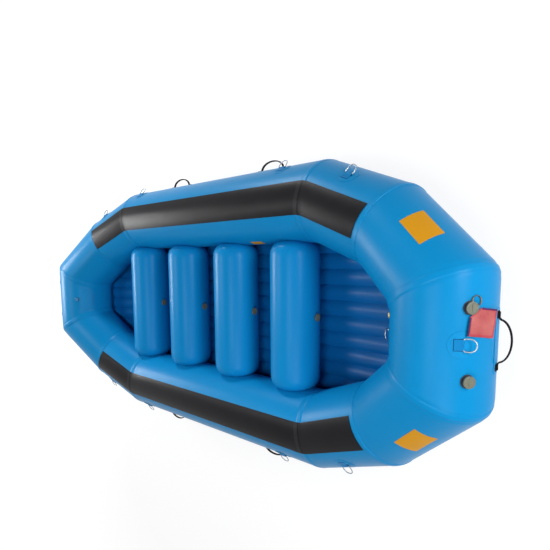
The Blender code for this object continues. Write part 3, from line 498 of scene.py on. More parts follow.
# Dark purple of the bands along the tag's stern and port edges: painted shade at those edges.
tag_edge_shade_band = coated_fabric("tag_edge_shade_band", (0.075, 0.022, 0.095), 0.40)
lacing_grey = webbing("lacing_grey", (0.70, 0.72, 0.74))
keeper_blue = coated_fabric("keeper_blue", (0.002, 0.200, 0.490), 0.40)
# Dark navy of the sheet under each keeper: painted shade round the keeper's edges.
keeper_rim_shade = coated_fabric("keeper_rim_shade", (0.001, 0.045, 0.160), 0.45)
handle_black = webbing("handle_black", (0.006, 0.006, 0.007))
ring_steel = metal("ring_steel", (0.32, 0.36, 0.40), 0.26)
ring_bronze = metal("ring_bronze", (0.20, 0.16, 0.10), 0.30)
valve_brass = metal("valve_brass", (0.45, 0.34, 0.14), 0.35)
stern_valve = moulded("stern_valve", (0.030, 0.230, 0.480), 0.30)
cap_grey = moulded("cap_grey", (0.135, 0.145, 0.105), 0.42)
# Dark navy of the valve collars and flanges: partly their own dark moulding, partly painted shade
# of the recesses round the caps.
collar_navy = moulded("collar_navy", (0.015, 0.025, 0.045), 0.5)
baffle_grey = webbing("baffle_grey", (0.25, 0.27, 0.30))


# Camera, light and ground.

PICTURE = 550
FOCAL_LENGTH = 500
PICTURE_CENTRE = (255.60, 322.60)
SENSOR = 36
AIM = (0, 0, 0.3)
WHITE_RAYS = ("Is Camera Ray", "Is Glossy Ray", "Is Transmission Ray")


def make_camera():
    """The photograph's viewpoint, high off the bow, with the stern at the left of the picture."""
    data = bpy.data.cameras.new("camera")
    data.sensor_width = SENSOR
    data.lens = FOCAL_LENGTH / PICTURE * SENSOR
    data.shift_x = (PICTURE / 2 - PICTURE_CENTRE[0]) / PICTURE
    data.shift_y = (PICTURE_CENTRE[1] - PICTURE / 2) / PICTURE
    data.clip_end = 100
    right = Vector((0.69395647, -0.01241824, -0.71990985))
    down = Vector((0.08473307, -0.99149511, 0.09878138))
    forward = Vector((-0.71501379, -0.12955015, -0.68700221))
    camera = bpy.data.objects.new("camera", data)
    turn = Matrix((right, -down, -forward)).transposed().to_4x4()
    camera.matrix_world = Matrix.Translation((3.0344, 0.39505, 2.7835)) @ turn
    bpy.context.scene.collection.objects.link(camera)
    bpy.context.scene.camera = camera


def make_lamp(name, place, size, power, aim=AIM):
    """A soft oblong lamp that faces a point."""
    data = bpy.data.lights.new(name, "AREA")
    data.shape = "RECTANGLE"
    data.size, data.size_y = size
    data.energy = power
    lamp = bpy.data.objects.new(name, data)
    lamp.location = place
    lamp.rotation_euler = (Vector(aim) - Vector(place)).to_track_quat("-Z", "Y").to_euler()
    bpy.context.scene.collection.objects.link(lamp)


def white_rays(tree):
    """An output that is 1 for the rays that see the surroundings as white."""
    path = tree.nodes.new("ShaderNodeLightPath")
    seen = path.outputs[WHITE_RAYS[0]]
    for kind in WHITE_RAYS[1:]:
        either = tree.nodes.new("ShaderNodeMath")
        either.operation = "MAXIMUM"
        tree.links.new(seen, either.inputs[0])
        tree.links.new(path.outputs[kind], either.inputs[1])
        seen = either.outputs[0]
    return seen


def make_world():
    """An even pale room that shows white behind the raft."""
    world = bpy.data.worlds.new("room")
    bpy.context.scene.world = world
    world.use_nodes = True
    tree = world.node_tree
    room = tree.nodes["Background"]
    room.inputs["Color"].default_value = (1, 1, 1, 1)
    room.inputs["Strength"].default_value = 0.06
    white = tree.nodes.new("ShaderNodeBackground")
    white.inputs["Color"].default_value = (1, 1, 1, 1)
    white.inputs["Strength"].default_value = 1.0
    mix = tree.nodes.new("ShaderNodeMixShader")
    tree.links.new(white_rays(tree), mix.inputs[0])
    tree.links.new(room.outputs[0], mix.inputs[1])
    tree.links.new(white.outputs[0], mix.inputs[2])
    tree.links.new(mix.outputs[0], tree.nodes["World Output"].inputs["Surface"])


def make_ground():
    """A plain pale floor that keeps the raft's shadow."""
    object_mode()
    bpy.ops.mesh.primitive_plane_add(size=60, location=(0, 0, -0.0005))
    ground = added("ground")
    finish = Finish("ground_white", (0.86, 0.86, 0.86), 0.9)
    seen = Link(finish, white_rays(finish.tree))
    glow = finish.add("ShaderNodeEmission", {}, {"Color": (1, 1, 1, 1), "Strength": 1.15})
    output = finish.tree.nodes["Material Output"]
    mix = finish.tree.nodes.new("ShaderNodeMixShader")
    away = finish.add(
        "ShaderNodeVectorMath", {"operation": "LENGTH"}, {0: finish.where()}, "Value")
    bounds = {"From Min": 3.0, "From Max": 5.5, "To Min": 0.70, "To Max": 0.87}
    share = finish.add("ShaderNodeMapRange", {}, {"Value": away, **bounds})
    finish.feed(mix.inputs[0], seen * share)
    finish.tree.links.new(finish.shader.outputs[0], mix.inputs[1])
    finish.tree.links.new(glow.socket, mix.inputs[2])
    finish.tree.links.new(mix.outputs[0], output.inputs["Surface"])
    ground.data.materials.append(finish.material)


bpy.context.scene.view_settings.view_transform = "Standard"
make_camera()
make_lamp("stern_low", (-5.0, 0.55, 2.5), (2.0, 0.45), 128)
make_lamp("stern_high", (-2.5, 0.2, 4.6), (1.4, 1.4), 46)
make_lamp("bow_top", (2.2, -0.5, 5.2), (1.7, 1.7), 60, aim=(0.6, 0, 0.3))
make_lamp("bow_low", (4.8, 1.0, 2.0), (1.8, 1.0), 90)
make_lamp("bow_high", (3.7, -1.8, 3.2), (2.0, 2.0), 60)
make_lamp("port_low", (-2.0, 4.2, 1.9), (1.1, 0.7), 92)
make_world()
make_ground()


# The path of the perimeter tube.

def corner(index, fore, side):
    """A corner of the tube's axis, counted from mid side (0) to mid end (4)."""
    x, y, rise = CORNERS[index]
    return Vector((fore * x, side * y, AXIS_Z + rise))


class Leg:
    """A straight length of tube between two corners, with the mitre planes at its ends."""

    def __init__(self, start, end, crest):
        self.start, self.end = start, end
        self.along = (end - start).normalized()
        self.crest = (crest - self.along * crest.dot(self.along)).normalized()
        self.out = self.crest.cross(self.along)

    def turn(self):
        """The turn of a tube along Z into the leg."""
        return Matrix((self.out, self.crest, self.out.cross(self.crest))).transposed()


def legs_of(points, side):
    """Legs through axis points, with the crest carried round each mitre, and out to the outside."""
    legs = []
    crest = UP
    for start, end in zip(points, points[1:]):
        leg = Leg(start, end, crest)
        if legs:
            before, after = legs[-1].along, leg.along
            mitre = (before + after).normalized()
            slid = crest - before * (crest.dot(mitre) / before.dot(mitre))
            leg = Leg(start, end, slid)
        crest = leg.crest
        legs.append(leg)
    for leg in legs:
        if leg.out.dot(Vector((0, side, 0))) < 0 and abs(leg.along.y) < 0.99:
            leg.out.negate()
    return legs


def mitre_planes(legs):
    """The plane at each axis point, square to the path at its ends and mitred between."""
    planes = [(legs[0].start, legs[0].along)]
    for before, after in zip(legs, legs[1:]):
        planes.append((after.start, (before.along + after.along).normalized()))
    planes.append((legs[-1].end, legs[-1].along))
    return planes


def radial(leg, angle):
    """The direction out of the tube at an angle from its crest."""
    return sin(angle) * leg.out + cos(angle) * leg.crest


def add_leg(leg, radius, reach=0.3):
    """A length of plain tube that runs past both corners."""
    object_mode()
    bpy.ops.mesh.primitive_cylinder_add(
        vertices=TUBE_SIDES, radius=radius, depth=(leg.end - leg.start).length + 2 * reach,
        end_fill_type="NOTHING", location=(leg.start + leg.end) / 2,
        rotation=leg.turn().to_euler())
    return settle(bpy.context.view_layer.objects.active)


def tube_skin(name, legs, radius, arc=None, soften=()):
    """Lengths of tube, all round or over an arc, joined at their mitres, which are rounded off."""
    planes = mitre_planes(legs)
    pieces = []
    for leg, near, far in zip(legs, planes, planes[1:]):
        piece = add_leg(leg, radius)
        edit(piece)
        cut(far[0], far[1])
        cut(near[0], -near[1])
        if arc:
            for angle, sign in ((arc[0], -1), (arc[1], 1)):
                cut(leg.start, radial(leg, angle + pi / 2) * sign)
        pieces.append(piece)
    skin = join(pieces, name)
    for (point, normal), width in zip(planes[1:-1], soften):
        choose(skin, "EDGE", lambda e: all(
            abs((v.co - point).dot(normal)) < 0.0002 and (v.co - point).length < 2 * radius
            for v in e.verts))
        bpy.ops.mesh.bevel(offset=width, segments=5, profile=0.5)
    object_mode()
    return skin


def close_ends(skin):
    """Fills the open ends of a skin."""
    edit(skin)
    bpy.ops.mesh.select_all(action="DESELECT")
    bpy.ops.mesh.select_non_manifold(extend=False)
    bpy.ops.mesh.fill_holes(sides=0)
    face_outward()


def quarter(fore, side):
    """The four legs of a quarter of the perimeter tube."""
    return legs_of([corner(i, fore, side) for i in range(5)], side)


QUARTERS = [
    (f"{end}_{side_name}", fore, side)
    for end, fore in ENDS.items() for side_name, side in SIDES.items()]


# Perimeter tube, seam tapes and wear strips.

def build_tubes():
    """The skins of the four chambers."""
    for place, fore, side in QUARTERS:
        legs = quarter(fore, side)
        skin = tube_skin(f"tube_{place}", legs, TUBE_RADIUS - SKIN_INSET, soften=BEND_WIDTHS)
        close_ends(skin)
        finish(skin, tube_blue, "tube_fabric", replaces=[f"chamber_{place}"])


def beside(point, normal, distance):
    """The planes at a distance on both sides of a plane, each with its outward normal."""
    return [(point + distance * normal, normal), (point - distance * normal, -normal)]


def build_seam_tapes():
    """A tape over each mitre of the tube, cut from a skin that rounds the bend as the tube does."""
    for place, fore, side in QUARTERS:
        legs = quarter(fore, side)
        for index, corner_name in ((1, "main"), (2, "kick"), (3, "end")):
            pair = legs[index - 1:index + 1]
            tape = tube_skin(
                f"seam_tape_{corner_name}_{place}", pair, TUBE_RADIUS - TAPE_INSET,
                soften=BEND_WIDTHS[index - 1:index])
            point, normal = mitre_planes(pair)[1]
            edit(tape)
            for plane in beside(point, normal, TAPE_HALF):
                cut(*plane)
            for shift in (-TAPE_CREST, TAPE_CREST):
                cut(point + shift * normal, normal, clear=False)
            choose(
                tape, "VERT", lambda v: abs((v.co - point).dot(normal)) < TAPE_CREST + 0.0001)
            bpy.ops.transform.shrink_fatten(value=TAPE_RISE)
            object_mode()
            apply_modifier(tape, "SOLIDIFY", thickness=TAPE_THICKNESS, offset=1)
            finish(tape, tube_blue, "tube_fabric")


def strip_sheet(name, legs, rise, planes, thickness, arc=STRIP_ARC):
    """A sheet over the crest of the side tube, cut off at planes."""
    sheet = tube_skin(name, legs, TUBE_RADIUS + rise, arc=arc, soften=BEND_WIDTHS[:1])
    edit(sheet)
    for plane in planes:
        cut(*plane)
    object_mode()
    apply_modifier(sheet, "SOLIDIFY", thickness=thickness, offset=1)
    return sheet


def build_wear_strips():
    """Black strips along the crests of the side tubes, lapped at the main seams under a band; the
    near-black line over each main seam is painted shade of the gap there, and the band's lighter
    black is a painted highlight.
    """
    band_arc = (STRIP_ARC[0] + 0.004, STRIP_ARC[1] - 0.004)
    for place, fore, side in QUARTERS:
        legs = quarter(fore, side)[:2]
        point, normal = mitre_planes(legs)[1]
        end_point, end_normal = mitre_planes(quarter(fore, side))[2]
        ends = [(end_point - STRIP_END * end_normal, end_normal)]
        strip = strip_sheet(f"strip_{place}", legs, STRIP_RISE, ends, STRIP_THICKNESS)
        round_edges(strip, 0.0007)
        finish(strip, strip_black, "wear_strip", replaces=[f"wear_strip_{place}"])
        # Near-black line over the seam: painted shade of the gap at the joint.
        line = strip_sheet(
            f"strip_gap_shade_{place}", legs, SEAM_RISE, beside(point, normal, SEAM_HALF), 0.0006)
        finish(line, seam_shade_black, "wear_strip")
        # Raised lap band on the stern side of the seam; its lighter black is a painted highlight.
        astern = normal if normal.x < 0 else -normal
        lap = [(point + BAND_END * astern, astern), (point + BAND_START * astern, -astern)]
        band = strip_sheet(f"highlit_lap_band_{place}", legs, BAND_RISE, lap, 0.0024, band_arc)
        round_edges(band, 0.0010, 3)
        finish(band, highlit_lap_band, "wear_strip")


# Thwarts.

def build_thwarts():
    """Four bolsters whose ends are pressed against the side tubes."""
    cutters = []
    for side in (PORT, STARBOARD):
        for fore in (BOW, STERN):
            cutter = tube_skin("thwart_seat", quarter(fore, side)[:2], TUBE_RADIUS + THWART_GAP)
            close_ends(cutter)
            cutters.append(cutter)
    for number, x in enumerate(THWART_X, 1):
        object_mode()
        bpy.ops.mesh.primitive_cylinder_add(
            vertices=96, radius=THWART_RADIUS, depth=THWART_LENGTH, location=(x, 0, THWART_Z),
            rotation=(pi / 2, 0, 0))
        bolster = settle(added(f"bolster_{number}"))
        choose(bolster, "EDGE", lambda e: abs(e.verts[0].co.y - e.verts[1].co.y) < 0.001)
        bpy.ops.mesh.bevel(offset=THWART_ROUNDING, segments=14, profile=0.58)
        for cutter in cutters:
            apply_modifier(
                bolster, "BOOLEAN", object=cutter, operation="DIFFERENCE", solver="EXACT")
        finish(
            bolster, thwart_blue, "tube_fabric", replaces=[f"thwart_{number}"],
            angle=radians(40))
    for cutter in cutters:
        bpy.data.objects.remove(cutter, do_unlink=True)


# Fittings on the tube.

class Run:
    """A straight run of tube, with its outboard and upward directions, that carries fittings."""

    def __init__(self, start, toward):
        self.start = start
        self.along = (toward - start).normalized()
        self.outboard = self.along.cross(UP).normalized()
        if self.outboard.dot(start) < 0:
            self.outboard.negate()
        self.upward = self.outboard.cross(self.along)
        if self.upward.z < 0:
            self.upward.negate()

    def seat(self, station, angle, radius=TUBE_RADIUS):
        """X along the tube, Y round it away from the top, Z out of the tube."""
        outward = sin(angle) * self.outboard + cos(angle) * self.upward
        around = cos(angle) * self.outboard - sin(angle) * self.upward
        matrix = Matrix((around.cross(outward), around, outward)).transposed().to_4x4()
        matrix.translation = self.start + station * self.along + radius * outward
        return matrix


def run(index, fore, side):
    return Run(corner(index, fore, side), corner(index + 1, fore, side))


def end_run(fore):
    return Run(corner(4, fore, PORT), corner(3, fore, PORT))


BAR_OFFSET = 0.006
BAR_HEIGHT = 0.0073
ROD = 0.0032
PATCH_RADIUS = 0.0615
RIM_RADIUS = 0.0608
COVER_RADIUS = 0.048
KEEPER_WIDTH = 0.050
RING_HALF = 0.0292
RING_CROWN = 0.0272
RING_REST = radians(30)


def ring_places():
    """Each steel ring's name with the seat of its patch."""
    places = {
        "bow_top": end_run(BOW).seat(0, radians(44.7)),
        "bow_inner": end_run(BOW).seat(-0.010, radians(-70)) @ Matrix.Rotation(pi, 4, "Z"),
    }
    for side_name, side in SIDES.items():
        places[f"{side_name}_main_bow"] = run(0, BOW, side).seat(0.778, radians(62))
        places[f"{side_name}_main_stern"] = run(0, BOW, side).seat(-0.915, radians(62))
        places[f"{side_name}_kick_bow"] = run(1, BOW, side).seat(0.253, radians(54))
        places[f"{side_name}_kick_stern"] = run(1, STERN, side).seat(0.367, radians(54))
    return places


def build_ring_patches():
    """Two-layer round patches with a folded webbing keeper and a dark navy sheet under it, whose
    rim is painted shade round the keeper.
    """
    for name, seat in ring_places().items():
        base = lay_on_tube(disc(f"patch_base_{name}", PATCH_RADIUS), 0.0004, 0.0011)
        finish(put(base, seat), patch_blue, "patch_fabric", replaces=[f"ring_patch_{name}"])
        cover = lay_on_tube(disc(f"patch_cover_{name}", COVER_RADIUS), 0.0015, 0.0010)
        finish(put(cover, seat), patch_blue, "patch_fabric")
        wrap = ROD + 0.0016
        path = [(-0.034, 0.0022), (-0.014, 0.0040)]
        for k in range(9):
            angle = radians(140 - 170 * k / 8)
            path.append((BAR_OFFSET + wrap * cos(angle), BAR_HEIGHT + wrap * sin(angle)))
        path += [(BAR_OFFSET + 0.0030, 0.0036), (-0.004, 0.0030)]
        # A dark navy sheet a little larger than the keeper, laid under it: its rim is painted shade
        # round the keeper.
        seam = panel(f"keeper_rim_shade_{name}", 0.056, 0.044, 0.003)
        for vertex in seam.data.vertices:
            vertex.co.y -= 0.0145
        finish(put(lay_on_tube(seam, 0.0024, 0.0004, rim=0), seat), keeper_rim_shade, "patch_fabric")
        keeper = ribbon(f"keeper_{name}", KEEPER_WIDTH, path, 0.0018)
        finish(put(keeper, seat), keeper_blue, "patch_fabric")
        turns = [2 * pi * k / 64 for k in range(64)]
        points = [(RIM_RADIUS * cos(turn), RIM_RADIUS * sin(turn), LIFT) for turn in turns]
        rim = wire(f"patch_rim_{name}", points, 0.0009)
        for vertex in rim.data.vertices:
            co = vertex.co
            co.z = co.z - LIFT + sqrt(TUBE_RADIUS ** 2 - co.y ** 2) - TUBE_RADIUS + 0.0012
        finish(put(rim, seat), patch_blue, "patch_fabric", angle=pi)


def build_rings():
    """Steel rings: a bow of round rod on a straight bar, resting off the tube."""
    slope = BAR_OFFSET / TUBE_RADIUS
    reach = TUBE_RADIUS + BAR_HEIGHT
    bar = Matrix.Translation((0, reach * sin(slope), reach * cos(slope) - TUBE_RADIUS))
    bar = bar @ Matrix.Rotation(-slope, 4, "X") @ Matrix.Rotation(RING_REST, 4, "X")
    points = [
        (RING_HALF, 0.009, 0), (RING_HALF - 0.0026, 0.0026, 0), (RING_HALF - 0.009, 0, 0)]
    points += [(-x, y, 0) for x, y, z in reversed(points)]
    for k in range(21):
        turn = pi * k / 20
        points.append((-RING_HALF * cos(turn), RING_CROWN + RING_HALF * sin(turn), 0))
    for name, seat in ring_places().items():
        ring = put(wire(f"dee_{name}", points, ROD), seat @ bar)
        node = f"ring_{name}"
        finish(ring, ring_steel, "ring_steel", body=node, replaces=[node], angle=pi)


HANDLES = {
    "bow": (end_run(BOW), 0, 98), "stern": (end_run(STERN), 0, 98),
    "port_bow": (run(0, BOW, PORT), 0.575, 92), "port_stern": (run(0, BOW, PORT), -0.480, 92),
    "starboard_bow": (run(0, BOW, STARBOARD), 0.575, 92),
    "starboard_stern": (run(0, BOW, STARBOARD), -0.640, 92),
}
LOOP_HALF = 0.1000
LOOP_HEIGHT = 0.0555
TAB_START, TAB_END = 0.108, 0.137


def build_handles():
    """Black webbing loops, their ends glued down under cover patches on a long blue patch."""
    path = [(-TAB_END, 0.0060), (-TAB_START, 0.0060)]
    for k in range(1, 24):
        sweep = pi * k / 24
        path.append((-LOOP_HALF * cos(sweep), 0.0064 + LOOP_HEIGHT * sin(sweep)))
    path += [(TAB_START, 0.0060), (TAB_END, 0.0060)]
    for name, (tube, station, angle) in HANDLES.items():
        seat = tube.seat(station, radians(angle))
        base = lay_on_tube(panel(f"handle_patch_{name}", 0.309, 0.069, 0.016), 0.0005, 0.0014)
        finish(put(base, seat), patch_blue, "patch_fabric")
        loop = ribbon(f"handle_loop_{name}", 0.0160, path, 0.0078, across="Y")
        finish(put(loop, seat), handle_black, "handle_webbing", replaces=[f"handle_{name}"])
        for number, fore in enumerate((BOW, STERN), 1):
            cover = panel(f"handle_tab_{number}_{name}", 0.036, 0.046, 0.008)
            lay_on_tube(cover, 0.0019, 0.0013)
            place = seat @ Matrix.Translation((fore * 0.124, 0, 0))
            finish(put(cover, place), handle_black, "handle_webbing")


def valve_cap(name, radius, low, height, matrix, node):
    """A cap with a fluted rim, a raised lip and a dished face with a grip bar."""
    top = low + height
    cap = turned(name, [
        (radius * 0.86, low), (radius * 0.98, low + 0.0010), (radius, low + 0.0024),
        (radius, top - 0.0030), (radius * 0.95, top - 0.0008), (radius * 0.86, top),
        (radius * 0.76, top - 0.0002), (radius * 0.72, top - 0.0016),
        (radius * 0.30, top - 0.0020), (radius * 0.05, top - 0.0020)], 96)
    flute(cap, low + 0.0024, top - 0.0030, 24, 0.0011)
    round_edges(cap, 0.0003, angle=40)
    object_mode()
    bpy.ops.mesh.primitive_cube_add(size=1, location=(0, 0, top - 0.0012))
    bar = bpy.context.view_layer.objects.active
    bar.scale = (radius * 1.30, radius * 0.24, 0.0030)
    settle(bar)
    apply_modifier(bar, "BEVEL", width=0.0012, segments=3)
    cap = join([cap, bar], name)
    finish(put(cap, matrix), cap_grey, "valve_cap", body=node, replaces=[node])


VALVE_EYE = Matrix.Rotation(radians(138.4), 4, "Z") @ Matrix.Translation((0.020, 0, 0.0092))


def valve_seat(fore, side):
    """The seat of a filling valve on an end tube."""
    return end_run(fore).seat(side * 0.165, radians(52))


def build_valves():
    """Filling valves: a moulded collar let into the tube and a fluted cap that stands over it."""
    for name, fore, side in QUARTERS:
        seat = valve_seat(fore, side)
        flange = lay_on_tube(disc(f"valve_flange_{name}", 0.0318), 0.0004, 0.0026, rim=0.0010)
        finish(put(flange, seat), collar_navy, "valve_collar")
        neck = turned(f"valve_neck_{name}", [
            (0.0158, 0.001), (0.0200, 0.0034), (0.0172, 0.0050), (0.0160, 0.0070),
            (0.0160, 0.0146)], 48)
        object_mode()
        bpy.ops.mesh.primitive_torus_add(
            major_radius=0.0042, minor_radius=0.0010, major_segments=32, minor_segments=10,
            rotation=(pi / 2, 0, 0))
        eye = settle(bpy.context.view_layer.objects.active)
        eye.scale = (1, 1.7, 1)
        settle(eye)
        put(eye, VALVE_EYE)
        neck = join([neck, eye], f"valve_neck_{name}")
        finish(put(neck, seat), collar_navy, "valve_collar", replaces=[f"valve_body_{name}"])
        valve_cap(f"cap_{name}", 0.0288, 0.0155, 0.0108, seat, f"valve_cap_{name}")


def thwart_seat(number):
    """The seat of a thwart's valve, on the side that faces the bow."""
    outward = Vector((cos(radians(-7)), 0, sin(radians(-7))))
    across = Vector((0, 1, 0))
    seat = Matrix((across, outward.cross(across), outward)).transposed().to_4x4()
    seat.translation = Vector((THWART_X[number - 1], 0, THWART_Z)) + THWART_RADIUS * outward
    return seat


def build_thwart_valves():
    """A collar and a cap on each thwart."""
    for number in range(1, 5):
        seat = thwart_seat(number)
        flange = disc(f"thwart_flange_{number}", 0.034)
        lay_on_tube(flange, 0.0003, 0.0014, radius=THWART_RADIUS)
        finish(put(flange, seat), thwart_blue, "tube_fabric")
        steps = [(0.021, -0.0016), (0.021, 0.0040), (0.0195, 0.0058)]
        collar = turned(f"thwart_collar_{number}", steps, 48)
        finish(put(collar, seat), collar_navy, "tube_fabric")
        valve_cap(
            f"thwart_cap_top_{number}", 0.0268, 0.0065, 0.0088, seat, f"thwart_cap_{number}")


def build_split_ring():
    """The split ring: two coils that lie on each other, with a step across in the middle."""
    radius = 0.0222
    lay = valve_seat(BOW, PORT) @ VALVE_EYE @ Matrix.Rotation(radians(12), 4, "Y")
    lay = lay @ Matrix.Translation((radius, 0, 0))
    points = []
    for k in range(97):
        turn = 4 * pi * k / 96
        shift = max(-1.0, min(1.0, (k - 48) / 7))
        points.append((radius * cos(turn), radius * sin(turn), 0.00200 * shift))
    ring = put(wire("split_ring_coils", points, 0.00205, closed=False), lay)
    finish(
        ring, ring_bronze, "ring_steel", body="split_ring", replaces=["split_ring"], angle=pi)


def build_relief_valves():
    """Relief valves inside the end tubes: a flange, a domed body and a recessed mouth."""
    for name, seat, flange_finish, body_finish in (
        ("bow", end_run(BOW).seat(0.0907, radians(-76)), valve_brass, valve_brass),
        ("stern", end_run(STERN).seat(0.004, radians(-43)), collar_navy, stern_valve),
    ):
        flange = lay_on_tube(disc(f"relief_flange_{name}", 0.0198), 0.0006, 0.0022, rim=0.0008)
        finish(put(flange, seat), flange_finish, "relief_valve")
        valve = turned(f"relief_body_{name}", [
            (0.0150, 0.0014), (0.0165, 0.0032), (0.0172, 0.0060), (0.0172, 0.0110),
            (0.0160, 0.0140), (0.0135, 0.0156), (0.0105, 0.0156), (0.0092, 0.0146),
            (0.0090, 0.0124), (0.0050, 0.0124), (0.0046, 0.0134), (0.0020, 0.0138)], 64)
        flute(valve, 0.0060, 0.0110, 18, 0.0007)
        finish(put(valve, seat), body_finish, "relief_valve", replaces=[f"relief_valve_{name}"])


def build_stern_patch():
    """The patch on the stern tube's inner face: two layers and a flat webbing tab over them."""
    seat = end_run(STERN).seat(0, radians(-68))
    base = lay_on_tube(panel("stern_patch_base", 0.189, 0.129, 0.024), 0.0005, 0.0011)
    finish(put(base, seat), patch_blue, "patch_fabric", replaces=["stern_patch"])
    cover = lay_on_tube(panel("stern_patch_cover", 0.168, 0.104, 0.018), 0.0016, 0.0008)
    finish(put(cover, seat), patch_blue, "patch_fabric")
    path = [
        (-0.056, 0.0030), (-0.040, 0.0030), (-0.033, 0.0052), (0.033, 0.0052),
        (0.040, 0.0030), (0.056, 0.0030)]
    tab = ribbon("stern_tab", 0.018, path, 0.0014, across="Y")
    finish(put(tab, seat @ Matrix.Translation((0, -0.040, -0.0032))), keeper_blue, "patch_fabric")


# Bare patches on the chambers.

def build_bare_patches():
    """Yellow patches: one on each bow diagonal and a small one inside the port tube."""
    for name, tube, station, angle, length, width in (
        ("port", run(2, BOW, PORT), 0.295, 47.5, 0.185, 0.130),
        ("starboard", run(2, BOW, STARBOARD), 0.305, 46.5, 0.185, 0.130),
        ("inner", run(0, BOW, PORT), 0.500, -74, 0.110, 0.050),
    ):
        sheet = panel(f"bare_patch_{name}", length, width, 0.003)
        lay_on_tube(sheet, 0.0003, 0.0006, rim=0)
        finish(put(sheet, tube.seat(station, radians(angle))), patch_yellow, "patch_fabric")


# Floor.

FLOOR_ARC = 0.0925
FLANGE_LEVEL = 0.046
FIRST_BEND, SECOND_BEND = 1.05, 1.5566
BENDS = (-SECOND_BEND, -FIRST_BEND, FIRST_BEND, SECOND_BEND)
FIRST_SLOPE = atan2(0.068, 0.502)
SECOND_SLOPE = atan2(0.132, 0.369)


def bend_up(piece):
    """Bends both ends of a level piece up at the two corners of the raft."""
    for fore in (BOW, STERN):
        for bend, turn in ((SECOND_BEND, SECOND_SLOPE - FIRST_SLOPE), (FIRST_BEND, FIRST_SLOPE)):
            choose(piece, "VERT", lambda v: v.co.x * fore > bend - 0.0005)
            bpy.ops.transform.rotate(
                value=turn * fore, orient_axis="Y", orient_type="GLOBAL",
                center_override=(fore * bend, 0, 0))
    object_mode()


MAT_PLAN = ((1.0094, 0.5086), (1.4397, 0.3550), (1.7499, 0.1328))
FLANGE_PLAN = ((1.0238, 0.5860), (1.4860, 0.4290), (1.8360, 0.1640))


def plan_planes(plan):
    """Upright planes along the sides of an outline, given by its corners ahead and to port."""
    planes = []
    for fore in (BOW, STERN):
        corners = [(fore * x, y) for x, y in plan] + [(fore * x, -y) for x, y in reversed(plan)]
        for (a, b), (c, d) in zip(corners, corners[1:]):
            normal = Vector((d - b, a - c, 0)).normalized()
            if normal.dot(Vector((a, b, 0))) < 0:
                normal.negate()
            planes.append((Vector((a, b, 0)), normal))
    for side in (PORT, STARBOARD):
        planes.append((Vector((0, side * plan[0][1], 0)), Vector((0, side, 0))))
    return planes


def build_floor():
    """An inflated mat of lengthwise beams."""
    rows = []
    for beam in range(BEAMS):
        y = (beam - (BEAMS - 1) / 2) * BEAM_PITCH
        for sign in (1, -1):
            object_mode()
            centre = FLOOR_TOP / 2 + sign * (FLOOR_TOP / 2 - FLOOR_ARC) * 0.998
            bpy.ops.mesh.primitive_cylinder_add(
                vertices=96, radius=FLOOR_ARC, depth=3.96, end_fill_type="NOTHING",
                location=(0, y, centre), rotation=(0, pi / 2, 0))
            row = settle(bpy.context.view_layer.objects.active)
            edit(row)
            cut((0, y + BEAM_PITCH / 2, 0), (0, 1, 0))
            cut((0, y - BEAM_PITCH / 2, 0), (0, -1, 0))
            cut((0, 0, centre), (0, 0, -sign))
            rows.append(row)
    mat = join(rows, "floor_mat")
    edit(mat)
    for x in BENDS:
        cut((x, 0, 0), (1, 0, 0), clear=False)
    bpy.ops.mesh.select_all(action="DESELECT")
    bpy.ops.mesh.select_non_manifold(extend=False)
    bpy.ops.mesh.bridge_edge_loops()
    object_mode()
    bend_up(mat)
    edit(mat)
    for point, normal in plan_planes(MAT_PLAN):
        cut(point, normal, fill=True)
    face_outward()
    round_edges(mat, 0.010, 3)
    finish(mat, floor_shaded_blue, "floor_fabric", replaces=["floor"], angle=radians(30))


def build_flange():
    """The flange round the floor, which is laced to the tubes."""
    object_mode()
    bpy.ops.mesh.primitive_plane_add(size=1, location=(0, 0, FLANGE_LEVEL))
    flange = added("floor_flange")
    flange.scale = (4.0, 1.5, 1)
    settle(flange)
    edit(flange)
    for x in BENDS:
        cut((x, 0, 0), (1, 0, 0), clear=False)
    bend_up(flange)
    edit(flange)
    for point, normal in plan_planes(FLANGE_PLAN):
        cut(point, normal)
    object_mode()
    apply_modifier(flange, "SOLIDIFY", thickness=0.004, offset=0)
    round_edges(flange, 0.001)
    finish(flange, floor_shaded_blue, "floor_fabric")


GROMMETS = 28
GROMMET_PITCH = 0.075
GROMMET_START = -1.0125
GROMMET_Y = 0.560


def build_lacing():
    """Grommets along the floor's flange and the cord laced through them, on both sides."""
    for side_name, side in SIDES.items():
        points = []
        for count in range(GROMMETS):
            x = GROMMET_START + GROMMET_PITCH * count
            object_mode()
            bpy.ops.mesh.primitive_torus_add(
                major_radius=0.0070, minor_radius=0.0022, major_segments=24, minor_segments=8,
                location=(x, side * GROMMET_Y, 0.0482))
            grommet = settle(added(f"grommet_{side_name}_{count + 1}"))
            finish(grommet, ring_steel, "ring_steel")
            points += [
                (x - 0.022, side * 0.5790, 0.0520), (x, side * GROMMET_Y, 0.0535),
                (x + 0.022, side * 0.5790, 0.0520)]
        cord = wire(f"lacing_{side_name}", points, 0.0022, 0.006, 3, closed=False)
        finish(cord, lacing_grey, "handle_webbing", angle=pi)


# Tag.

TAG_LENGTH, TAG_WIDTH = 0.131, 0.1465
TAG_CUT_X, TAG_CUT_Y = 0.047, 0.058


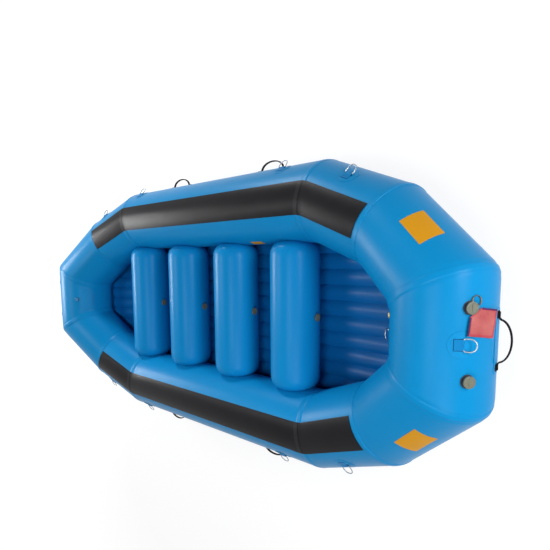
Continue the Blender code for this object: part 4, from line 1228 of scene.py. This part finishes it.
def tag_sheet(name, inset, level, thickness, cells=36):
    """A flat sheet with the tag's outline, cut in a grid so that soft folds can run along it."""
    object_mode()
    bpy.ops.mesh.primitive_grid_add(
        x_subdivisions=cells, y_subdivisions=cells, size=1, location=(0, 0, 0))
    sheet = added(name)
    sheet.scale = (TAG_LENGTH - 2 * inset, TAG_WIDTH - 2 * inset, 1)
    settle(sheet)
    edit(sheet)
    a = Vector((-TAG_LENGTH / 2 + TAG_CUT_X + inset, -TAG_WIDTH / 2, 0))
    b = Vector((-TAG_LENGTH / 2, -TAG_WIDTH / 2 + TAG_CUT_Y + inset, 0))
    cut(a, Vector((b.y - a.y, a.x - b.x, 0)) * (-1 if b.y > a.y else 1))
    object_mode()
    for vertex in sheet.data.vertices:
        x, y = vertex.co.x, vertex.co.y
        fold = 0.0009 * sin(x * 52 + y * 18 + 0.6) + 0.0005 * sin(x * 24 - y * 71)
        edge = min(TAG_LENGTH / 2 - abs(x), TAG_WIDTH / 2 - abs(y))
        vertex.co.z = level + fold * min(1.0, 0.35 + edge / 0.03)
    apply_modifier(sheet, "SOLIDIFY", thickness=thickness, offset=0)
    round_edges(sheet, min(0.0003, thickness / 3))
    return sheet


def build_tag():
    """A film sleeve with a card in it, with raised bands along two edges whose dark purple is
    painted shade.
    """
    seat = end_run(BOW).seat(0.0971, radians(66.3)) @ Matrix.Rotation(radians(-7.4), 4, "Z")
    sleeve = tag_sheet("tag_sleeve", 0, 0.0045, 0.0012)
    finish(put(sleeve, seat), tag_red, "tag_film", body="tag", replaces=["tag"])
    card = tag_sheet("tag_card", 0.011, 0.0055, 0.0005)
    finish(put(card, seat), tag_card, "tag_film", body="tag")
    half_x, half_y = TAG_LENGTH / 2, TAG_WIDTH / 2
    line_x, line_y = -half_x + 0.0035, -half_y + 0.0035
    # Raised bands on the stern and port edges, dark purple as painted shade.
    for name, (ax, ay), (bx, by) in (
        ("stern", (-half_x + TAG_CUT_X + 0.002, line_y), (half_x - 0.001, line_y)),
        ("port", (line_x, -half_y + TAG_CUT_Y + 0.002), (line_x, half_y - 0.001)),
    ):
        length = hypot(bx - ax, by - ay)
        band = panel(f"tag_edge_shade_band_{name}", length, 0.0075, 0.001, lift=0)
        apply_modifier(band, "SOLIDIFY", thickness=0.0030, offset=0)
        round_edges(band, 0.0010, 3)
        turn = Matrix.Rotation(atan2(by - ay, bx - ax), 4, "Z")
        middle = Matrix.Translation(((ax + bx) / 2, (ay + by) / 2, 0.0048))
        finish(put(band, seat @ middle @ turn), tag_edge_shade_band, "tag_film", body="tag")


build_tubes()
build_seam_tapes()
build_wear_strips()
build_thwarts()
build_relief_valves()
build_stern_patch()
build_bare_patches()
build_floor()
build_flange()
build_lacing()
build_tag()
build_ring_patches()
build_rings()
build_handles()
build_valves()
build_thwart_valves()
build_split_ring()


# Finishes of the solids that are kept.

KEPT = {
    "floor": floor_shaded_blue, "baffle": baffle_grey, "ring_patch": patch_blue, "ring": ring_steel,
    "handle": handle_black, "valve_body": collar_navy, "valve_cap": cap_grey,
    "thwart_cap": cap_grey, "relief": valve_brass, "stern_patch": patch_blue,
}
for name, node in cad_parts.items():
    kinds = [kind for kind in KEPT if name.startswith(kind)]
    if kinds:
        material = KEPT[max(kinds, key=len)]
        for slot in node.material_slots:
            slot.material = material
